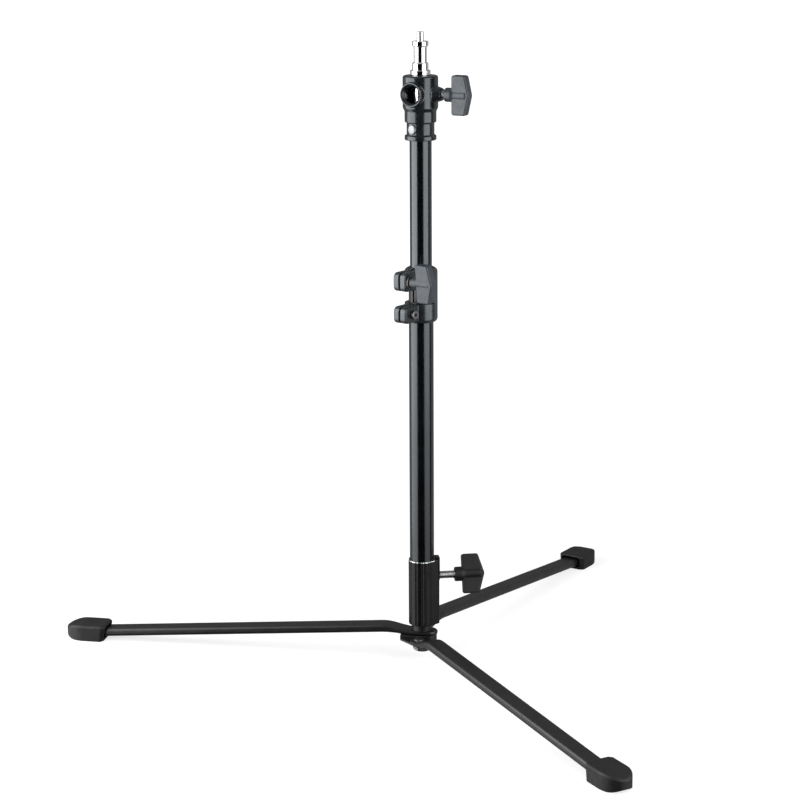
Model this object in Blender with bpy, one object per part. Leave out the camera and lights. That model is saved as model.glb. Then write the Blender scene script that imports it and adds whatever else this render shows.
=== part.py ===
"""Low lighting stand: folding three-leg base, lift-out two-section column, head with spigot.

Metres, +Z up. The floor is z = 0, and the column's axis is the vertical line x = y = 0 while the
pieces are modelled. At the end the whole stand is moved in x and y so that the middle of its
footprint lies on the origin.
"""
import math

import bmesh
import bpy
from mathutils import Matrix, Vector

# Clearances
FIT = 0.0003            # gap between pieces that touch or slide on each other
SCREW_FIT = 0.0003      # radial gap round a screw in its hole

# Tubes of the column
LOWER_TUBE_R = 0.0125
LOWER_TUBE_WALL = 0.0012
LOWER_TUBE_LENGTH = 0.3197
UPPER_TUBE_R = 0.0110
UPPER_TUBE_WALL = 0.0012
UPPER_TUBE_LENGTH = 0.374
HEAD_HEIGHT = 0.1278    # from the collar's top up to the head's lower rim, as the stand is set here

# Legs: flat bars with rounded edges
BAR_WIDTH = 0.0186
BAR_THICK = 0.0086
BAR_EDGE_R = 0.0028     # rounding of the bar's edges
BAR_EDGE_FLAT = 0.0002  # flat left between two roundings on a thin end
LEG_REACH = 0.3760      # from the foot of the perpendicular to the bar's outer end
LEG_OFFSET = 0.0130     # distance of the side legs' centre lines from the column's axis
BAR_REF = 0.080         # distance along a leg where BAR_TOP is measured
BAR_TOP = 0.0341        # height of the bar's top there
BAR_FALL = 4.58         # degrees that the bar falls outwards
LEFT_AZ = 169.3
REAR_AZ = 57.3
FRONT_AZ = -60.3
SIDE_TONGUE_Z = 0.0233  # underside of the two folding legs' tongues
SIDE_TONGUE_THICK = 0.0036
SIDE_CRANK = (0.018, 0.052)
FIXED_TONGUE_THICK = 0.0050
FIXED_CRANK = (0.010, 0.044)
FIXED_HEEL = 0.0070     # centre of the fixed leg's round end, past the column's axis
PIVOT_ALONG = 0.0155    # distance of the pivot along its leg

# Hub plate, rivets and centre bolt
PLATE_THICK = 0.0020
PLATE_PIVOT_R = 0.0060
LAND_R = 0.0093
LAND_RIGHT = 0.0060
LAND_LEFT = 0.0222
LAND_HALF = 0.0090
LAND_CORNER_R = 0.0012
RIVET_R = 0.0030
RIVET_HEAD_R = 0.0050
RIVET_HEAD_H = 0.0022
RIVET_FOOT_H = 0.0018
BOLT_R = 0.0050
BOLT_HEAD_FLATS = 0.0170
BOLT_HEAD_H = 0.0064
BOLT_HEAD_CHAMFER = 0.0004
BOLT_END_GAP = 0.0010   # between the bolt's end and the bottom of its hole
WASHER_R = 0.0098
WASHER_THICK = 0.0018
SPRING_WASHER_R = 0.0086
SPRING_WASHER_THICK = 0.0020

# Base sleeve
SLEEVE_GAP = 0.0070     # from the fixed leg's tongue up to the sleeve
SLEEVE_LENGTH = 0.0690
SLEEVE_R = 0.0140       # over the flutes' ribs
FLUTE_DEPTH = 0.0007
FLUTE_COUNT = 8
FLUTE_FLANK = 3.6       # degrees from a rib's land down to the groove
FLUTE_PITCH = 28.4      # degrees between two ribs
RIB_LAND = 0.0042
KEEL_AZ = 8.0
KEEL_REACH = 0.0176
KEEL_HALF = 0.0062
KEEL_ROOT = 52.0        # degrees from the keel's middle to where it meets the round wall
KEEL_CHAMFER = 0.0016
LUG_TOP = 0.0030        # how far the screw's lug stands above the sleeve's rim
LUG_LENGTH = 0.0250
LUG_REACH = 0.0182
LUG_HALF = 0.0052
LUG_EDGE = 0.0013
BASE_KNOB_OUT = 0.0160  # from the lug's face to the knob
RIM_CHAMFER = 0.0011
BASE_SCREW_DROP = 0.0175  # screw's axis below the sleeve's rim
PLUG_HEIGHT = 0.0220
PLUG_BOSS_R = 0.0110
PLUG_CAP = 0.0030       # solid top of the plug, over the bolt's hole

# T-knobs
KNOB_SPAN = 0.0196      # half the wings' span
BASE_KNOB_SPAN = 0.0206
KNOB_THICK = 0.0095
KNOB_HUB_R = 0.0076
KNOB_HUB_LENGTH = 0.0078
KNOB_RIDGE_R = 0.0064
KNOB_TIP_DEPTH = 0.0150
KNOB_MID_DEPTH = 0.0195
BASE_KNOB_TIP_DEPTH = 0.0170
BASE_KNOB_MID_DEPTH = 0.0234
BASE_KNOB_TURN = -20.0
KNOB_EDGE_R = 0.0016
KNOB_CORNER_R = 0.0022
KNOB_WEB = 0.0035       # height of the wings' root over the hub
STUD_R = 0.0040
STUD_GRIP = 0.0100      # how deep a stud sits in its knob
PAD_R = 0.0036
PAD_THICK = 0.0022
TURNED_CHAMFER = 0.0006 # on the ends of studs, bolts and the spigot

# Clamp collar
COLLAR_R = 0.0167
COLLAR_HEIGHT = 0.0555
COLLAR_CHAMFER = 0.0022
COLLAR_SEAT = 0.0205    # how far the lower tube reaches into the collar
EAR_AZ = -127.0
EAR_REACH = 0.0362
EAR_THICK = 0.0060
EAR_GAP = 0.0034
EAR_ROUND = 0.0026
UPPER_EAR_HEIGHT = 0.0190
LOWER_EAR_HEIGHT = 0.0170
EAR_MARGIN = 0.0010     # ear's set-back from the collar's end faces
LOWER_EAR_RISE = 0.0030
SLOT_BACK = 0.0010
CLAMP_BOLT_R = 0.0030
CLAMP_BOLT_OUT = 0.0280
CLAMP_KNOB_TURN = 5.0
CLAMP_WASHER_THICK = 0.0014
CLAMP_NUT_FLATS = 0.0100
CLAMP_NUT_THICK = 0.0040  # sunk in the far ear
LOCK_SCREW_R = 0.0025
LOCK_SCREW_OUT = 0.0240
LOCK_HEAD_R = 0.0043
LOCK_HEAD_H = 0.0034
LOCK_HEX_FLATS = 0.0040
LOCK_NUT_FLATS = 0.0080
LOCK_NUT_THICK = 0.0035
LOCK_SOCKET_DEPTH = 0.0020
LINER_SLIT = 0.0024
LINER_RIM = 0.0006      # how far the liner shows above the collar

# Head
HEAD_R = 0.0176
NECK_R = 0.0158
WAIST_R = 0.0138
FLANGE_R = 0.0158
FLANGE_H = 0.0054
WAIST_H = 0.0118
NECK_H = 0.0112
SHOULDER_H = 0.0036
BLOCK_H = 0.0316
TUBE_SEAT = 0.0255      # how far the upper tube reaches into the head
BORE_R = 0.0082
BORE_RIM = 0.0120
BORE_FACE = 0.0196
BORE_CHAMFER = 0.0024
BORE_DROP = 0.0178      # cross bore's axis below the head's top
BORE_AZ = -120.0
HEAD_KNOB_AZ = -30.0
HEAD_KNOB_OUT = 0.0043  # from the screw's boss to the knob
STUD_BOSS_R = 0.0083
STUD_BOSS_TIP_R = 0.0062
STUD_BOSS_REACH = 0.0247
HEAD_RIVET_R = 0.0050
HEAD_RIVET_H = 0.0014
HEAD_PIN_R = 0.0018
HEAD_PIN_DROP = 0.0002  # the rivet's axis below the middle of the waist
HEAD_RIVET_AZ = -127.0

# Spigot
SPIGOT_R = 0.0080
SPIGOT_SHANK = 0.0360
SPIGOT_FLANGE_R = 0.0100
SPIGOT_FLANGE_H = 0.0046
SPIGOT_LAND = 0.0068
SPIGOT_WAIST_R = 0.0064
SPIGOT_WAIST = 0.0170
SPIGOT_TOP_LAND = 0.0045
SPIGOT_TIP_R = 0.0034
SPIGOT_TIP = 0.0092

# Rubber feet
FOOT_HALF = 0.0156
FOOT_HEIGHT = 0.0172
FOOT_LENGTH = 0.0465
FOOT_PAST = 0.0140      # rubber beyond the bar's end
FOOT_ROUND = 0.0034

# Column stops and end plug
END_PLUG_DEPTH = 0.0100
END_PLUG_FLANGE = 0.0017

CUT = 0.004             # how far a cut runs past the face it starts from

SEGMENTS = 32
SMALL_SEGMENTS = 24
WELD = 0.000002         # points closer than this after a cut are one point


# Heights that follow from the sizes above
LAND_TOP = SIDE_TONGUE_Z + SIDE_TONGUE_THICK
PLATE_TOP = SIDE_TONGUE_Z - FIT
PLATE_Z = PLATE_TOP - PLATE_THICK
FIXED_TONGUE_Z = LAND_TOP + FIT
FIXED_TONGUE_TOP = FIXED_TONGUE_Z + FIXED_TONGUE_THICK
SLEEVE_Z = FIXED_TONGUE_TOP + SLEEVE_GAP
SLEEVE_TOP = SLEEVE_Z + SLEEVE_LENGTH
TUBE_BORE_R = LOWER_TUBE_R + FIT
PLUG_TOP = SLEEVE_Z + PLUG_HEIGHT
LOWER_TUBE_Z = PLUG_TOP + FIT
LOWER_TUBE_TOP = LOWER_TUBE_Z + LOWER_TUBE_LENGTH
COLLAR_Z = LOWER_TUBE_TOP - COLLAR_SEAT
COLLAR_TOP = COLLAR_Z + COLLAR_HEIGHT
HEAD_Z = COLLAR_TOP + HEAD_HEIGHT
HEAD_TOP = HEAD_Z + FLANGE_H + WAIST_H + NECK_H + SHOULDER_H + BLOCK_H
UPPER_TUBE_TOP = HEAD_Z + TUBE_SEAT - FIT
UPPER_TUBE_Z = UPPER_TUBE_TOP - UPPER_TUBE_LENGTH
BORE_Z = HEAD_TOP - BORE_DROP
BASE_SCREW_Z = SLEEVE_TOP - BASE_SCREW_DROP
EAR_FACE = EAR_GAP / 2 + EAR_THICK


def clear_scene():
    for obj in list(bpy.data.objects):
        bpy.data.objects.remove(obj, do_unlink=True)


def direction(az):
    a = math.radians(az)
    return Vector((math.cos(a), math.sin(a), 0.0))


def side_of(az):
    a = math.radians(az)
    return Vector((-math.sin(a), math.cos(a), 0.0))


def material(name, colour, roughness, metallic):
    mat = bpy.data.materials.new(name)
    mat.use_nodes = True
    shader = mat.node_tree.nodes["Principled BSDF"]
    shader.inputs["Base Color"].default_value = (*colour, 1.0)
    shader.inputs["Roughness"].default_value = roughness
    shader.inputs["Metallic"].default_value = metallic
    return mat


def finish_mesh(name, bm, mat=None, smooth=30.0, matrix=None):
    bmesh.ops.remove_doubles(bm, verts=bm.verts, dist=1e-7)
    bmesh.ops.recalc_face_normals(bm, faces=bm.faces)
    mesh = bpy.data.meshes.new(name)
    bm.to_mesh(mesh)
    bm.free()
    mesh.shade_smooth()
    mesh.set_sharp_from_angle(angle=math.radians(smooth))
    obj = bpy.data.objects.new(name, mesh)
    bpy.context.scene.collection.objects.link(obj)
    if matrix is not None:
        obj.matrix_world = matrix
    if mat is not None:
        mesh.materials.append(mat)
    return obj


def turned(profile, segments=SEGMENTS):
    """A solid of revolution about Z from a closed loop of (radius, height) points."""
    bm = bmesh.new()
    verts = [bm.verts.new((r, 0.0, z)) for r, z in profile]
    edges = []
    for a, b in zip(verts, verts[1:] + verts[:1]):
        if a.co.x or b.co.x:
            edges.append(bm.edges.new((a, b)))
    bmesh.ops.spin(bm, geom=verts + edges, cent=(0, 0, 0), axis=(0, 0, 1),
                   angle=2 * math.pi, steps=segments, use_merge=True)
    bmesh.ops.remove_doubles(bm, verts=bm.verts, dist=1e-7)
    bmesh.ops.dissolve_degenerate(bm, edges=bm.edges, dist=1e-7)
    return bm


def rod(radius, low, high, chamfer=0.0, segments=SEGMENTS):
    c = chamfer
    loop = [(0.0, low), (radius - c, low)]
    if c:
        loop.append((radius, low + c))
        loop.append((radius, high - c))
    loop.append((radius - c, high))
    loop.append((0.0, high))
    return turned(loop, segments)


def ring(inner, outer, low, high, segments=SEGMENTS):
    return turned([(inner, low), (outer, low), (outer, high), (inner, high)], segments)


def prism(outline, low, high):
    """An upright prism over a closed outline of (x, y) points."""
    bm = bmesh.new()
    face = bm.faces.new([bm.verts.new((x, y, low)) for x, y in outline])
    out = bmesh.ops.extrude_face_region(bm, geom=[face])
    top = [v for v in out["geom"] if isinstance(v, bmesh.types.BMVert)]
    bmesh.ops.translate(bm, verts=top, vec=(0.0, 0.0, high - low))
    return bm


def hexagon(flats):
    r = flats / math.sqrt(3)
    return [(r * math.cos(math.pi / 3 * i), r * math.sin(math.pi / 3 * i)) for i in range(6)]


def arc(cx, cy, radius, start, end, steps):
    pts = []
    for i in range(steps + 1):
        a = math.radians(start + (end - start) * i / steps)
        pts.append((cx + radius * math.cos(a), cy + radius * math.sin(a)))
    return pts


def hull_of_discs(discs, steps=SEGMENTS):
    """Outline round several discs (x, y, radius), as a taut band would lie."""
    pts = []
    for x, y, r in discs:
        pts += [(px, py) for px, py in arc(x, y, r, 0, 360, steps)[:-1]]
    pts = sorted(set((round(px, 8), round(py, 8)) for px, py in pts))

    def half(points):
        chain = []
        for p in points:
            while len(chain) > 1 and turn(chain[-2], chain[-1], p) <= 0:
                chain.pop()
            chain.append(p)
        return chain[:-1]

    def turn(a, b, c):
        return (b[0] - a[0]) * (c[1] - a[1]) - (b[1] - a[1]) * (c[0] - a[0])

    return half(pts) + half(pts[::-1])


def bevelled(bm, width, segments, angle=40.0, up_only=False):
    edges = []
    for e in bm.edges:
        if len(e.link_faces) != 2:
            continue
        if math.degrees(e.calc_face_angle(0.0)) < angle:
            continue
        if up_only and min(v.co.z for v in e.verts) < max(v.co.z for v in bm.verts) - 1e-6:
            continue
        edges.append(e)
    bmesh.ops.bevel(bm, geom=edges, offset=width, segments=segments, profile=0.5,
                    affect="EDGES", clamp_overlap=True)
    return bm


def boolean(obj, other, operation):
    """Join or cut obj with the tool object, then weld the double points that the cut leaves."""
    mod = obj.modifiers.new(operation.lower() + "_" + other.name, "BOOLEAN")
    mod.operation = operation
    mod.solver = "EXACT"
    mod.object = other
    weld = obj.modifiers.new("weld_" + other.name, "WELD")
    weld.merge_threshold = WELD


def tool(name, bm, matrix=None):
    obj = finish_mesh("tool_" + name, bm, matrix=matrix)
    obj.hide_render = True
    obj.display_type = "WIRE"
    return obj


def along(az, origin=(0, 0, 0), turn=0.0):
    """A frame whose local Z points horizontally outwards at az, and whose local X points up."""
    z = direction(az)
    x = Vector((0, 0, 1))
    y = z.cross(x)
    rot = Matrix((x, y, z)).transposed().to_4x4()
    return Matrix.Translation(origin) @ rot @ Matrix.Rotation(math.radians(turn), 4, "Z")


def smooth_step(value, start, end):
    t = min(1.0, max(0.0, (value - start) / (end - start)))
    return t * t * (3.0 - 2.0 * t)


# Legs

def bar_top(t):
    return BAR_TOP + math.tan(math.radians(BAR_FALL)) * (BAR_REF - t)


def section(half_width, low, high):
    """Rounded rectangle across the bar, as (side, height) points."""
    r = min(BAR_EDGE_R, (high - low) / 2 - BAR_EDGE_FLAT, half_width - BAR_EDGE_FLAT)
    pts = []
    corners = ((half_width - r, high - r, 0), (-half_width + r, high - r, 90),
               (-half_width + r, low + r, 180), (half_width - r, low + r, 270))
    for cx, cz, start in corners:
        pts += arc(cx, cz, r, start, start + 90, 2)
    return pts


def leg_stations(heel, tongue_z, tongue_thick, crank):
    """(distance, half width, low, high) along a leg, from its round heel to the outer end."""
    stations = []
    half = BAR_WIDTH / 2
    for i in range(1, 8):
        a = math.radians(180 - 90 * i / 7)
        stations.append((heel + half * math.cos(a), half * math.sin(a)))
    steps = 9
    for i in range(steps + 1):
        t = crank[0] + (crank[1] - crank[0]) * i / steps
        if t > heel + BAR_EDGE_FLAT:
            stations.append((t, half))
    stations.append((LEG_REACH, half))
    out = []
    for t, h in stations:
        s = smooth_step(t, crank[0], crank[1])
        low = tongue_z + s * (bar_top(t) - BAR_THICK - tongue_z)
        high = tongue_z + tongue_thick + s * (bar_top(t) - tongue_z - tongue_thick)
        out.append((t, h, low, high))
    return out


def leg(name, az, offset, stations, mat):
    bm = bmesh.new()
    d = direction(az)
    n = side_of(az)
    rings = []
    for t, half, low, high in stations:
        loop = []
        for s, z in section(half, low, high):
            p = d * t + n * (offset + s)
            loop.append(bm.verts.new((p.x, p.y, z)))
        rings.append(loop)
    for a, b in zip(rings[:-1], rings[1:]):
        for i in range(len(a)):
            j = (i + 1) % len(a)
            bm.faces.new((a[i], a[j], b[j], b[i]))
    bm.faces.new(rings[0])
    bm.faces.new(rings[-1])
    return finish_mesh(name, bm, mat, smooth=35.0)


def leg_point(az, offset, t):
    return direction(az) * t + side_of(az) * offset


def foot_outline(inner, outer):
    """Rubber seen from above: cut corners at the leg's end, a round outer end."""
    half = FOOT_HALF
    c = FOOT_ROUND
    tip = half - FIT
    pts = [(inner, c - half), (inner + c, -half)]
    pts += arc(outer - tip, 0.0, half, -90, 90, 10)
    pts += [(inner + c, half), (inner, half - c)]
    return pts


def foot(name, az, offset, mat):
    """Rubber end cap: flat sole, round outer end, pocket for the bar."""
    outer = LEG_REACH + FOOT_PAST
    inner = outer - FOOT_LENGTH
    bm = prism(foot_outline(inner, outer), 0.0, FOOT_HEIGHT)
    bevelled(bm, FOOT_ROUND, 3, up_only=True)
    turn = Matrix.Rotation(math.radians(az), 4, "Z")
    place = Matrix.Translation(leg_point(az, offset, 0.0)) @ turn
    body = finish_mesh(name, bm, mat, smooth=40.0, matrix=place)
    pocket = bmesh.new()
    rings = []
    for t in (inner - CUT, LEG_REACH + FIT):
        low = bar_top(t) - BAR_THICK - FIT
        high = bar_top(t) + FIT
        pts = section(BAR_WIDTH / 2 + FIT, low, high)
        rings.append([pocket.verts.new((t, s, z)) for s, z in pts])
    for i in range(len(rings[0])):
        j = (i + 1) % len(rings[0])
        pocket.faces.new((rings[0][i], rings[0][j], rings[1][j], rings[1][i]))
    pocket.faces.new(rings[0])
    pocket.faces.new(rings[1])
    boolean(body, tool(name + "_pocket", pocket, place), "DIFFERENCE")
    return body


def upright_cutter(name, point, radius, low, high):
    bm = rod(radius, low, high, segments=SMALL_SEGMENTS)
    return tool(name, bm, Matrix.Translation((point.x, point.y, 0.0)))


def rivet_profile(low, high):
    """Pan head below, shank, domed head above."""
    foot_low = low - RIVET_FOOT_H
    loop = [(0.0, foot_low), (RIVET_HEAD_R - RIVET_FOOT_H / 2, foot_low),
            (RIVET_HEAD_R, low - RIVET_FOOT_H / 2), (RIVET_HEAD_R, low), (RIVET_R, low), (RIVET_R, high)]
    dome = arc(0.0, 0.0, 1.0, 0, 90, 4)
    loop += [(RIVET_HEAD_R * x, high + RIVET_HEAD_H * z) for x, z in dome[:-1]]
    loop.append((0.0, high + RIVET_HEAD_H))
    return loop


# T-knobs and their screws

def knob_outline(span, tip_depth, mid_depth):
    """Flat outline of the wings: (distance along the axis, distance across it)."""
    base = KNOB_HUB_LENGTH
    r = KNOB_CORNER_R
    half = [(base + r / 2, KNOB_RIDGE_R), (base, KNOB_HUB_R + KNOB_WEB), (base, span - r)]
    half += arc(base + r, span - r, r, 180, 90, 2)[1:]
    half += arc(base + tip_depth - r, span - r, r, 90, 20, 2)
    return half + [(base + mid_depth, 0.0)] + [(u, -v) for u, v in half[::-1]]


def knob(name, place, size, mat):
    """T-knob: hub on its axis, two wings with a shallow V outside, ridge along the axis."""
    span, tip_depth, mid_depth = size
    bm = bmesh.new()
    thick = KNOB_THICK / 2
    face = bm.faces.new([bm.verts.new((v, -thick, u)) for u, v in knob_outline(span, tip_depth, mid_depth)])
    out = bmesh.ops.extrude_face_region(bm, geom=[face])
    top = [v for v in out["geom"] if isinstance(v, bmesh.types.BMVert)]
    bmesh.ops.translate(bm, verts=top, vec=(0.0, KNOB_THICK, 0.0))
    bmesh.ops.recalc_face_normals(bm, faces=bm.faces)
    edges = [e for e in bm.edges if len(e.link_faces) == 2
             and abs(e.link_faces[0].normal.y - e.link_faces[1].normal.y) > 0.5]
    bmesh.ops.bevel(bm, geom=edges, offset=KNOB_EDGE_R, segments=2, profile=0.5, affect="EDGES")
    body = finish_mesh(name, bm, mat, smooth=35.0, matrix=place)
    c = KNOB_EDGE_R / 2
    nose = KNOB_HUB_LENGTH + mid_depth - KNOB_RIDGE_R / 2
    core = turned([(0.0, 0.0), (KNOB_HUB_R - c, 0.0), (KNOB_HUB_R, c), (KNOB_HUB_R, KNOB_HUB_LENGTH - c),
                   (KNOB_RIDGE_R, KNOB_HUB_LENGTH + KNOB_CORNER_R), (KNOB_RIDGE_R, nose - KNOB_EDGE_R),
                   (KNOB_RIDGE_R - KNOB_EDGE_R, nose), (0.0, nose)], SMALL_SEGMENTS)
    boolean(body, tool(name + "_core", core, place), "UNION")
    hole = rod(STUD_R + SCREW_FIT, -CUT, STUD_GRIP + FIT, segments=SMALL_SEGMENTS)
    boolean(body, tool(name + "_hole", hole, place), "DIFFERENCE")
    return body


def knob_place(az, origin, start, turn=0.0):
    return along(az, origin, turn) @ Matrix.Translation((0.0, 0.0, start))


def pressing_screw(name, az, origin, face, start, mats):
    """Stud with a pressure pad at its inner end: the pad ends at face, the knob begins at start."""
    place = along(az, origin)
    pad = rod(PAD_R, face, face + PAD_THICK, chamfer=TURNED_CHAMFER, segments=SMALL_SEGMENTS)
    finish_mesh(name + "_pad", pad, mats["pad"], matrix=place)
    stud = rod(STUD_R, face + PAD_THICK + FIT, start + STUD_GRIP, chamfer=TURNED_CHAMFER,
               segments=SMALL_SEGMENTS)
    finish_mesh(name + "_stud", stud, mats["stud"], matrix=place)


# Base

def hub_outlines(rear, front):
    """Outlines of the raised land under the fixed leg and of the whole plate with its pivot lobes."""
    back = direction(LEFT_AZ)
    side = side_of(LEFT_AZ)
    r = LAND_CORNER_R
    land = [(0.0, 0.0, LAND_R), (LAND_RIGHT, 0.0, LAND_R)]
    for sign in (1, -1):
        p = back * (LAND_LEFT - r) + side * (LAND_HALF - r) * sign
        land.append((p.x, p.y, r))
    lobes = [(p.x, p.y, PLATE_PIVOT_R) for p in (rear, front)]
    return hull_of_discs(land), hull_of_discs(land + lobes)


def build_hub(mats):
    rear = leg_point(REAR_AZ, LEG_OFFSET, PIVOT_ALONG)
    front = leg_point(FRONT_AZ, -LEG_OFFSET, PIVOT_ALONG)
    land, plate = hub_outlines(rear, front)
    hub = finish_mesh("hub_plate", prism(plate, PLATE_Z, PLATE_TOP), mats["leg"])
    boolean(hub, tool("hub_land", prism(land, PLATE_Z + PLATE_THICK / 2, LAND_TOP)), "UNION")
    holes = (("rear", rear, RIVET_R), ("front", front, RIVET_R), ("centre", Vector((0, 0, 0)), BOLT_R))
    for name, point, radius in holes:
        hole_r = radius + SCREW_FIT
        cutter = upright_cutter("hub_hole_" + name, point, hole_r, PLATE_Z - CUT, LAND_TOP + CUT)
        boolean(hub, cutter, "DIFFERENCE")
    for name, point in (("rear", rear), ("front", front)):
        rivet = turned(rivet_profile(PLATE_Z - FIT, LAND_TOP + FIT), SMALL_SEGMENTS)
        place = Matrix.Translation((point.x, point.y, 0.0))
        finish_mesh("leg_rivet_" + name, rivet, mats["rivet"], matrix=place)
    return rear, front


def build_legs(mats, rear, front):
    side_stations = leg_stations(PIVOT_ALONG, SIDE_TONGUE_Z, SIDE_TONGUE_THICK, SIDE_CRANK)
    fixed_stations = leg_stations(-FIXED_HEEL, FIXED_TONGUE_Z, FIXED_TONGUE_THICK, FIXED_CRANK)
    centre = Vector((0, 0, 0))
    legs = (("left", LEFT_AZ, 0.0, fixed_stations, centre, BOLT_R),
            ("rear", REAR_AZ, LEG_OFFSET, side_stations, rear, RIVET_R),
            ("front", FRONT_AZ, -LEG_OFFSET, side_stations, front, RIVET_R))
    for name, az, offset, stations, point, radius in legs:
        body = leg("leg_" + name, az, offset, stations, mats["leg"])
        cutter = upright_cutter("leg_hole_" + name, point, radius + SCREW_FIT, SIDE_TONGUE_Z - CUT,
                                FIXED_TONGUE_TOP + CUT)
        boolean(body, cutter, "DIFFERENCE")
        foot("foot_" + name, az, offset, mats["rubber"])


def build_bolt(mats):
    """Centre bolt from below, with a spring washer and a flat washer under the hub plate."""
    top = PLATE_Z - FIT
    flat = ring(BOLT_R + SCREW_FIT, WASHER_R, top - WASHER_THICK, top)
    finish_mesh("hub_washer", flat, mats["zinc"])
    top -= WASHER_THICK + FIT
    spring = ring(BOLT_R + SCREW_FIT, SPRING_WASHER_R, top - SPRING_WASHER_THICK, top)
    finish_mesh("hub_spring_washer", spring, mats["zinc"])
    top -= SPRING_WASHER_THICK + FIT
    low = top - BOLT_HEAD_H
    bolt = finish_mesh("hub_bolt", prism(hexagon(BOLT_HEAD_FLATS), low, top), mats["zinc"])
    tip = PLUG_TOP - PLUG_CAP - BOLT_END_GAP
    shank = rod(BOLT_R, top - BOLT_HEAD_H / 2, tip, chamfer=TURNED_CHAMFER, segments=SMALL_SEGMENTS)
    boolean(bolt, tool("hub_bolt_shank", shank), "UNION")
    corner = BOLT_HEAD_FLATS / math.sqrt(3)
    inner = BOLT_HEAD_FLATS / 2 - BOLT_HEAD_CHAMFER
    rise = (corner + CUT - inner) / 2
    envelope = turned([(0.0, low - CUT), (inner, low - CUT), (inner, low), (corner + CUT, low + rise),
                       (corner + CUT, tip + CUT), (0.0, tip + CUT)], SEGMENTS)
    boolean(bolt, tool("hub_bolt_chamfer", envelope), "INTERSECT")


def sleeve_outline():
    """Fluted outline: flat ribs at an even pitch, and a keel that carries the screw."""
    groove = SLEEVE_R - FLUTE_DEPTH
    half_land = math.degrees(RIB_LAND / 2 / SLEEVE_R)
    half_foot = half_land + FLUTE_FLANK
    turn = Matrix.Rotation(math.radians(KEEL_AZ), 2)
    c = KEEL_CHAMFER
    corners = ((KEEL_REACH - c, -KEEL_HALF), (KEEL_REACH, -KEEL_HALF + c), (KEEL_REACH, KEEL_HALF - c),
               (KEEL_REACH - c, KEEL_HALF))
    pts = [tuple(turn @ Vector(corner)) for corner in corners]
    pts += arc(0, 0, groove, KEEL_AZ + KEEL_ROOT, KEEL_AZ + KEEL_ROOT + FLUTE_FLANK, 1)
    first = KEEL_AZ + 180 - FLUTE_PITCH * (FLUTE_COUNT - 1) / 2
    for k in range(FLUTE_COUNT):
        az = first + FLUTE_PITCH * k
        pts.append(tuple(direction(az - half_foot).xy * groove))
        pts += arc(0, 0, SLEEVE_R, az - half_land, az + half_land, 2)
        pts.append(tuple(direction(az + half_foot).xy * groove))
    pts += arc(0, 0, groove, KEEL_AZ - KEEL_ROOT - FLUTE_FLANK, KEEL_AZ - KEEL_ROOT, 1)
    return pts


def build_sleeve(mats):
    sleeve = finish_mesh("base_sleeve", prism(sleeve_outline(), SLEEVE_Z, SLEEVE_TOP), mats["base_black"])
    lug_top = SLEEVE_TOP + LUG_TOP
    inner = TUBE_BORE_R + FIT
    lug = prism([(inner, -LUG_HALF), (LUG_REACH, -LUG_HALF), (LUG_REACH, LUG_HALF), (inner, LUG_HALF)],
                lug_top - LUG_LENGTH, lug_top)
    bevelled(lug, LUG_EDGE, 2, angle=60)
    turn = Matrix.Rotation(math.radians(KEEL_AZ), 4, "Z")
    boolean(sleeve, tool("sleeve_lug", lug, turn), "UNION")
    r = TUBE_BORE_R
    top = SLEEVE_TOP - RIM_CHAMFER
    wide = r + RIM_CHAMFER + CUT
    bore = turned([(0.0, SLEEVE_Z - CUT), (r, SLEEVE_Z - CUT), (r, top), (wide, SLEEVE_TOP + CUT),
                   (0.0, SLEEVE_TOP + CUT)])
    boolean(sleeve, tool("sleeve_bore", bore), "DIFFERENCE")
    hole = rod(STUD_R + SCREW_FIT, LOWER_TUBE_R - CUT, LUG_REACH + CUT, segments=SMALL_SEGMENTS)
    boolean(sleeve, tool("sleeve_hole", hole, along(KEEL_AZ, (0, 0, BASE_SCREW_Z))), "DIFFERENCE")


def build_sleeve_plug(mats):
    """Plug in the sleeve's foot: stands on the fixed leg's tongue and takes the centre bolt."""
    low = FIXED_TONGUE_TOP + FIT
    wall = BOLT_R + SCREW_FIT
    blind = PLUG_TOP - PLUG_CAP
    c = TURNED_CHAMFER
    plug = turned([(wall, low), (PLUG_BOSS_R, low), (PLUG_BOSS_R, SLEEVE_Z), (LOWER_TUBE_R, SLEEVE_Z + c),
                   (LOWER_TUBE_R, PLUG_TOP - c), (LOWER_TUBE_R - c, PLUG_TOP), (0.0, PLUG_TOP), (0.0, blind),
                   (wall, blind)])
    finish_mesh("sleeve_plug", plug, mats["base_black"])


def build_base_screw(mats):
    origin = (0, 0, BASE_SCREW_Z)
    start = LUG_REACH + BASE_KNOB_OUT
    pressing_screw("base_knob", KEEL_AZ, origin, LOWER_TUBE_R + FIT, start, mats)
    size = (BASE_KNOB_SPAN, BASE_KNOB_TIP_DEPTH, BASE_KNOB_MID_DEPTH)
    knob("base_knob", knob_place(KEEL_AZ, origin, start, BASE_KNOB_TURN), size, mats["base_knob"])


# Column

def build_tubes(mats):
    lower = ring(LOWER_TUBE_R - LOWER_TUBE_WALL, LOWER_TUBE_R, LOWER_TUBE_Z, LOWER_TUBE_TOP)
    finish_mesh("lower_tube", lower, mats["tube"])
    upper = ring(UPPER_TUBE_R - UPPER_TUBE_WALL, UPPER_TUBE_R, UPPER_TUBE_Z, UPPER_TUBE_TOP)
    finish_mesh("upper_tube", upper, mats["tube"])
    core = UPPER_TUBE_R - UPPER_TUBE_WALL - FIT
    top = UPPER_TUBE_Z - FIT
    low = top - END_PLUG_FLANGE
    c = TURNED_CHAMFER
    high = top + END_PLUG_DEPTH
    plug = turned([(0.0, low), (UPPER_TUBE_R - c, low), (UPPER_TUBE_R, low + c), (UPPER_TUBE_R, top),
                   (core, top), (core, high), (0.0, high)])
    finish_mesh("upper_tube_plug", plug, mats["plastic"])


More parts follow.
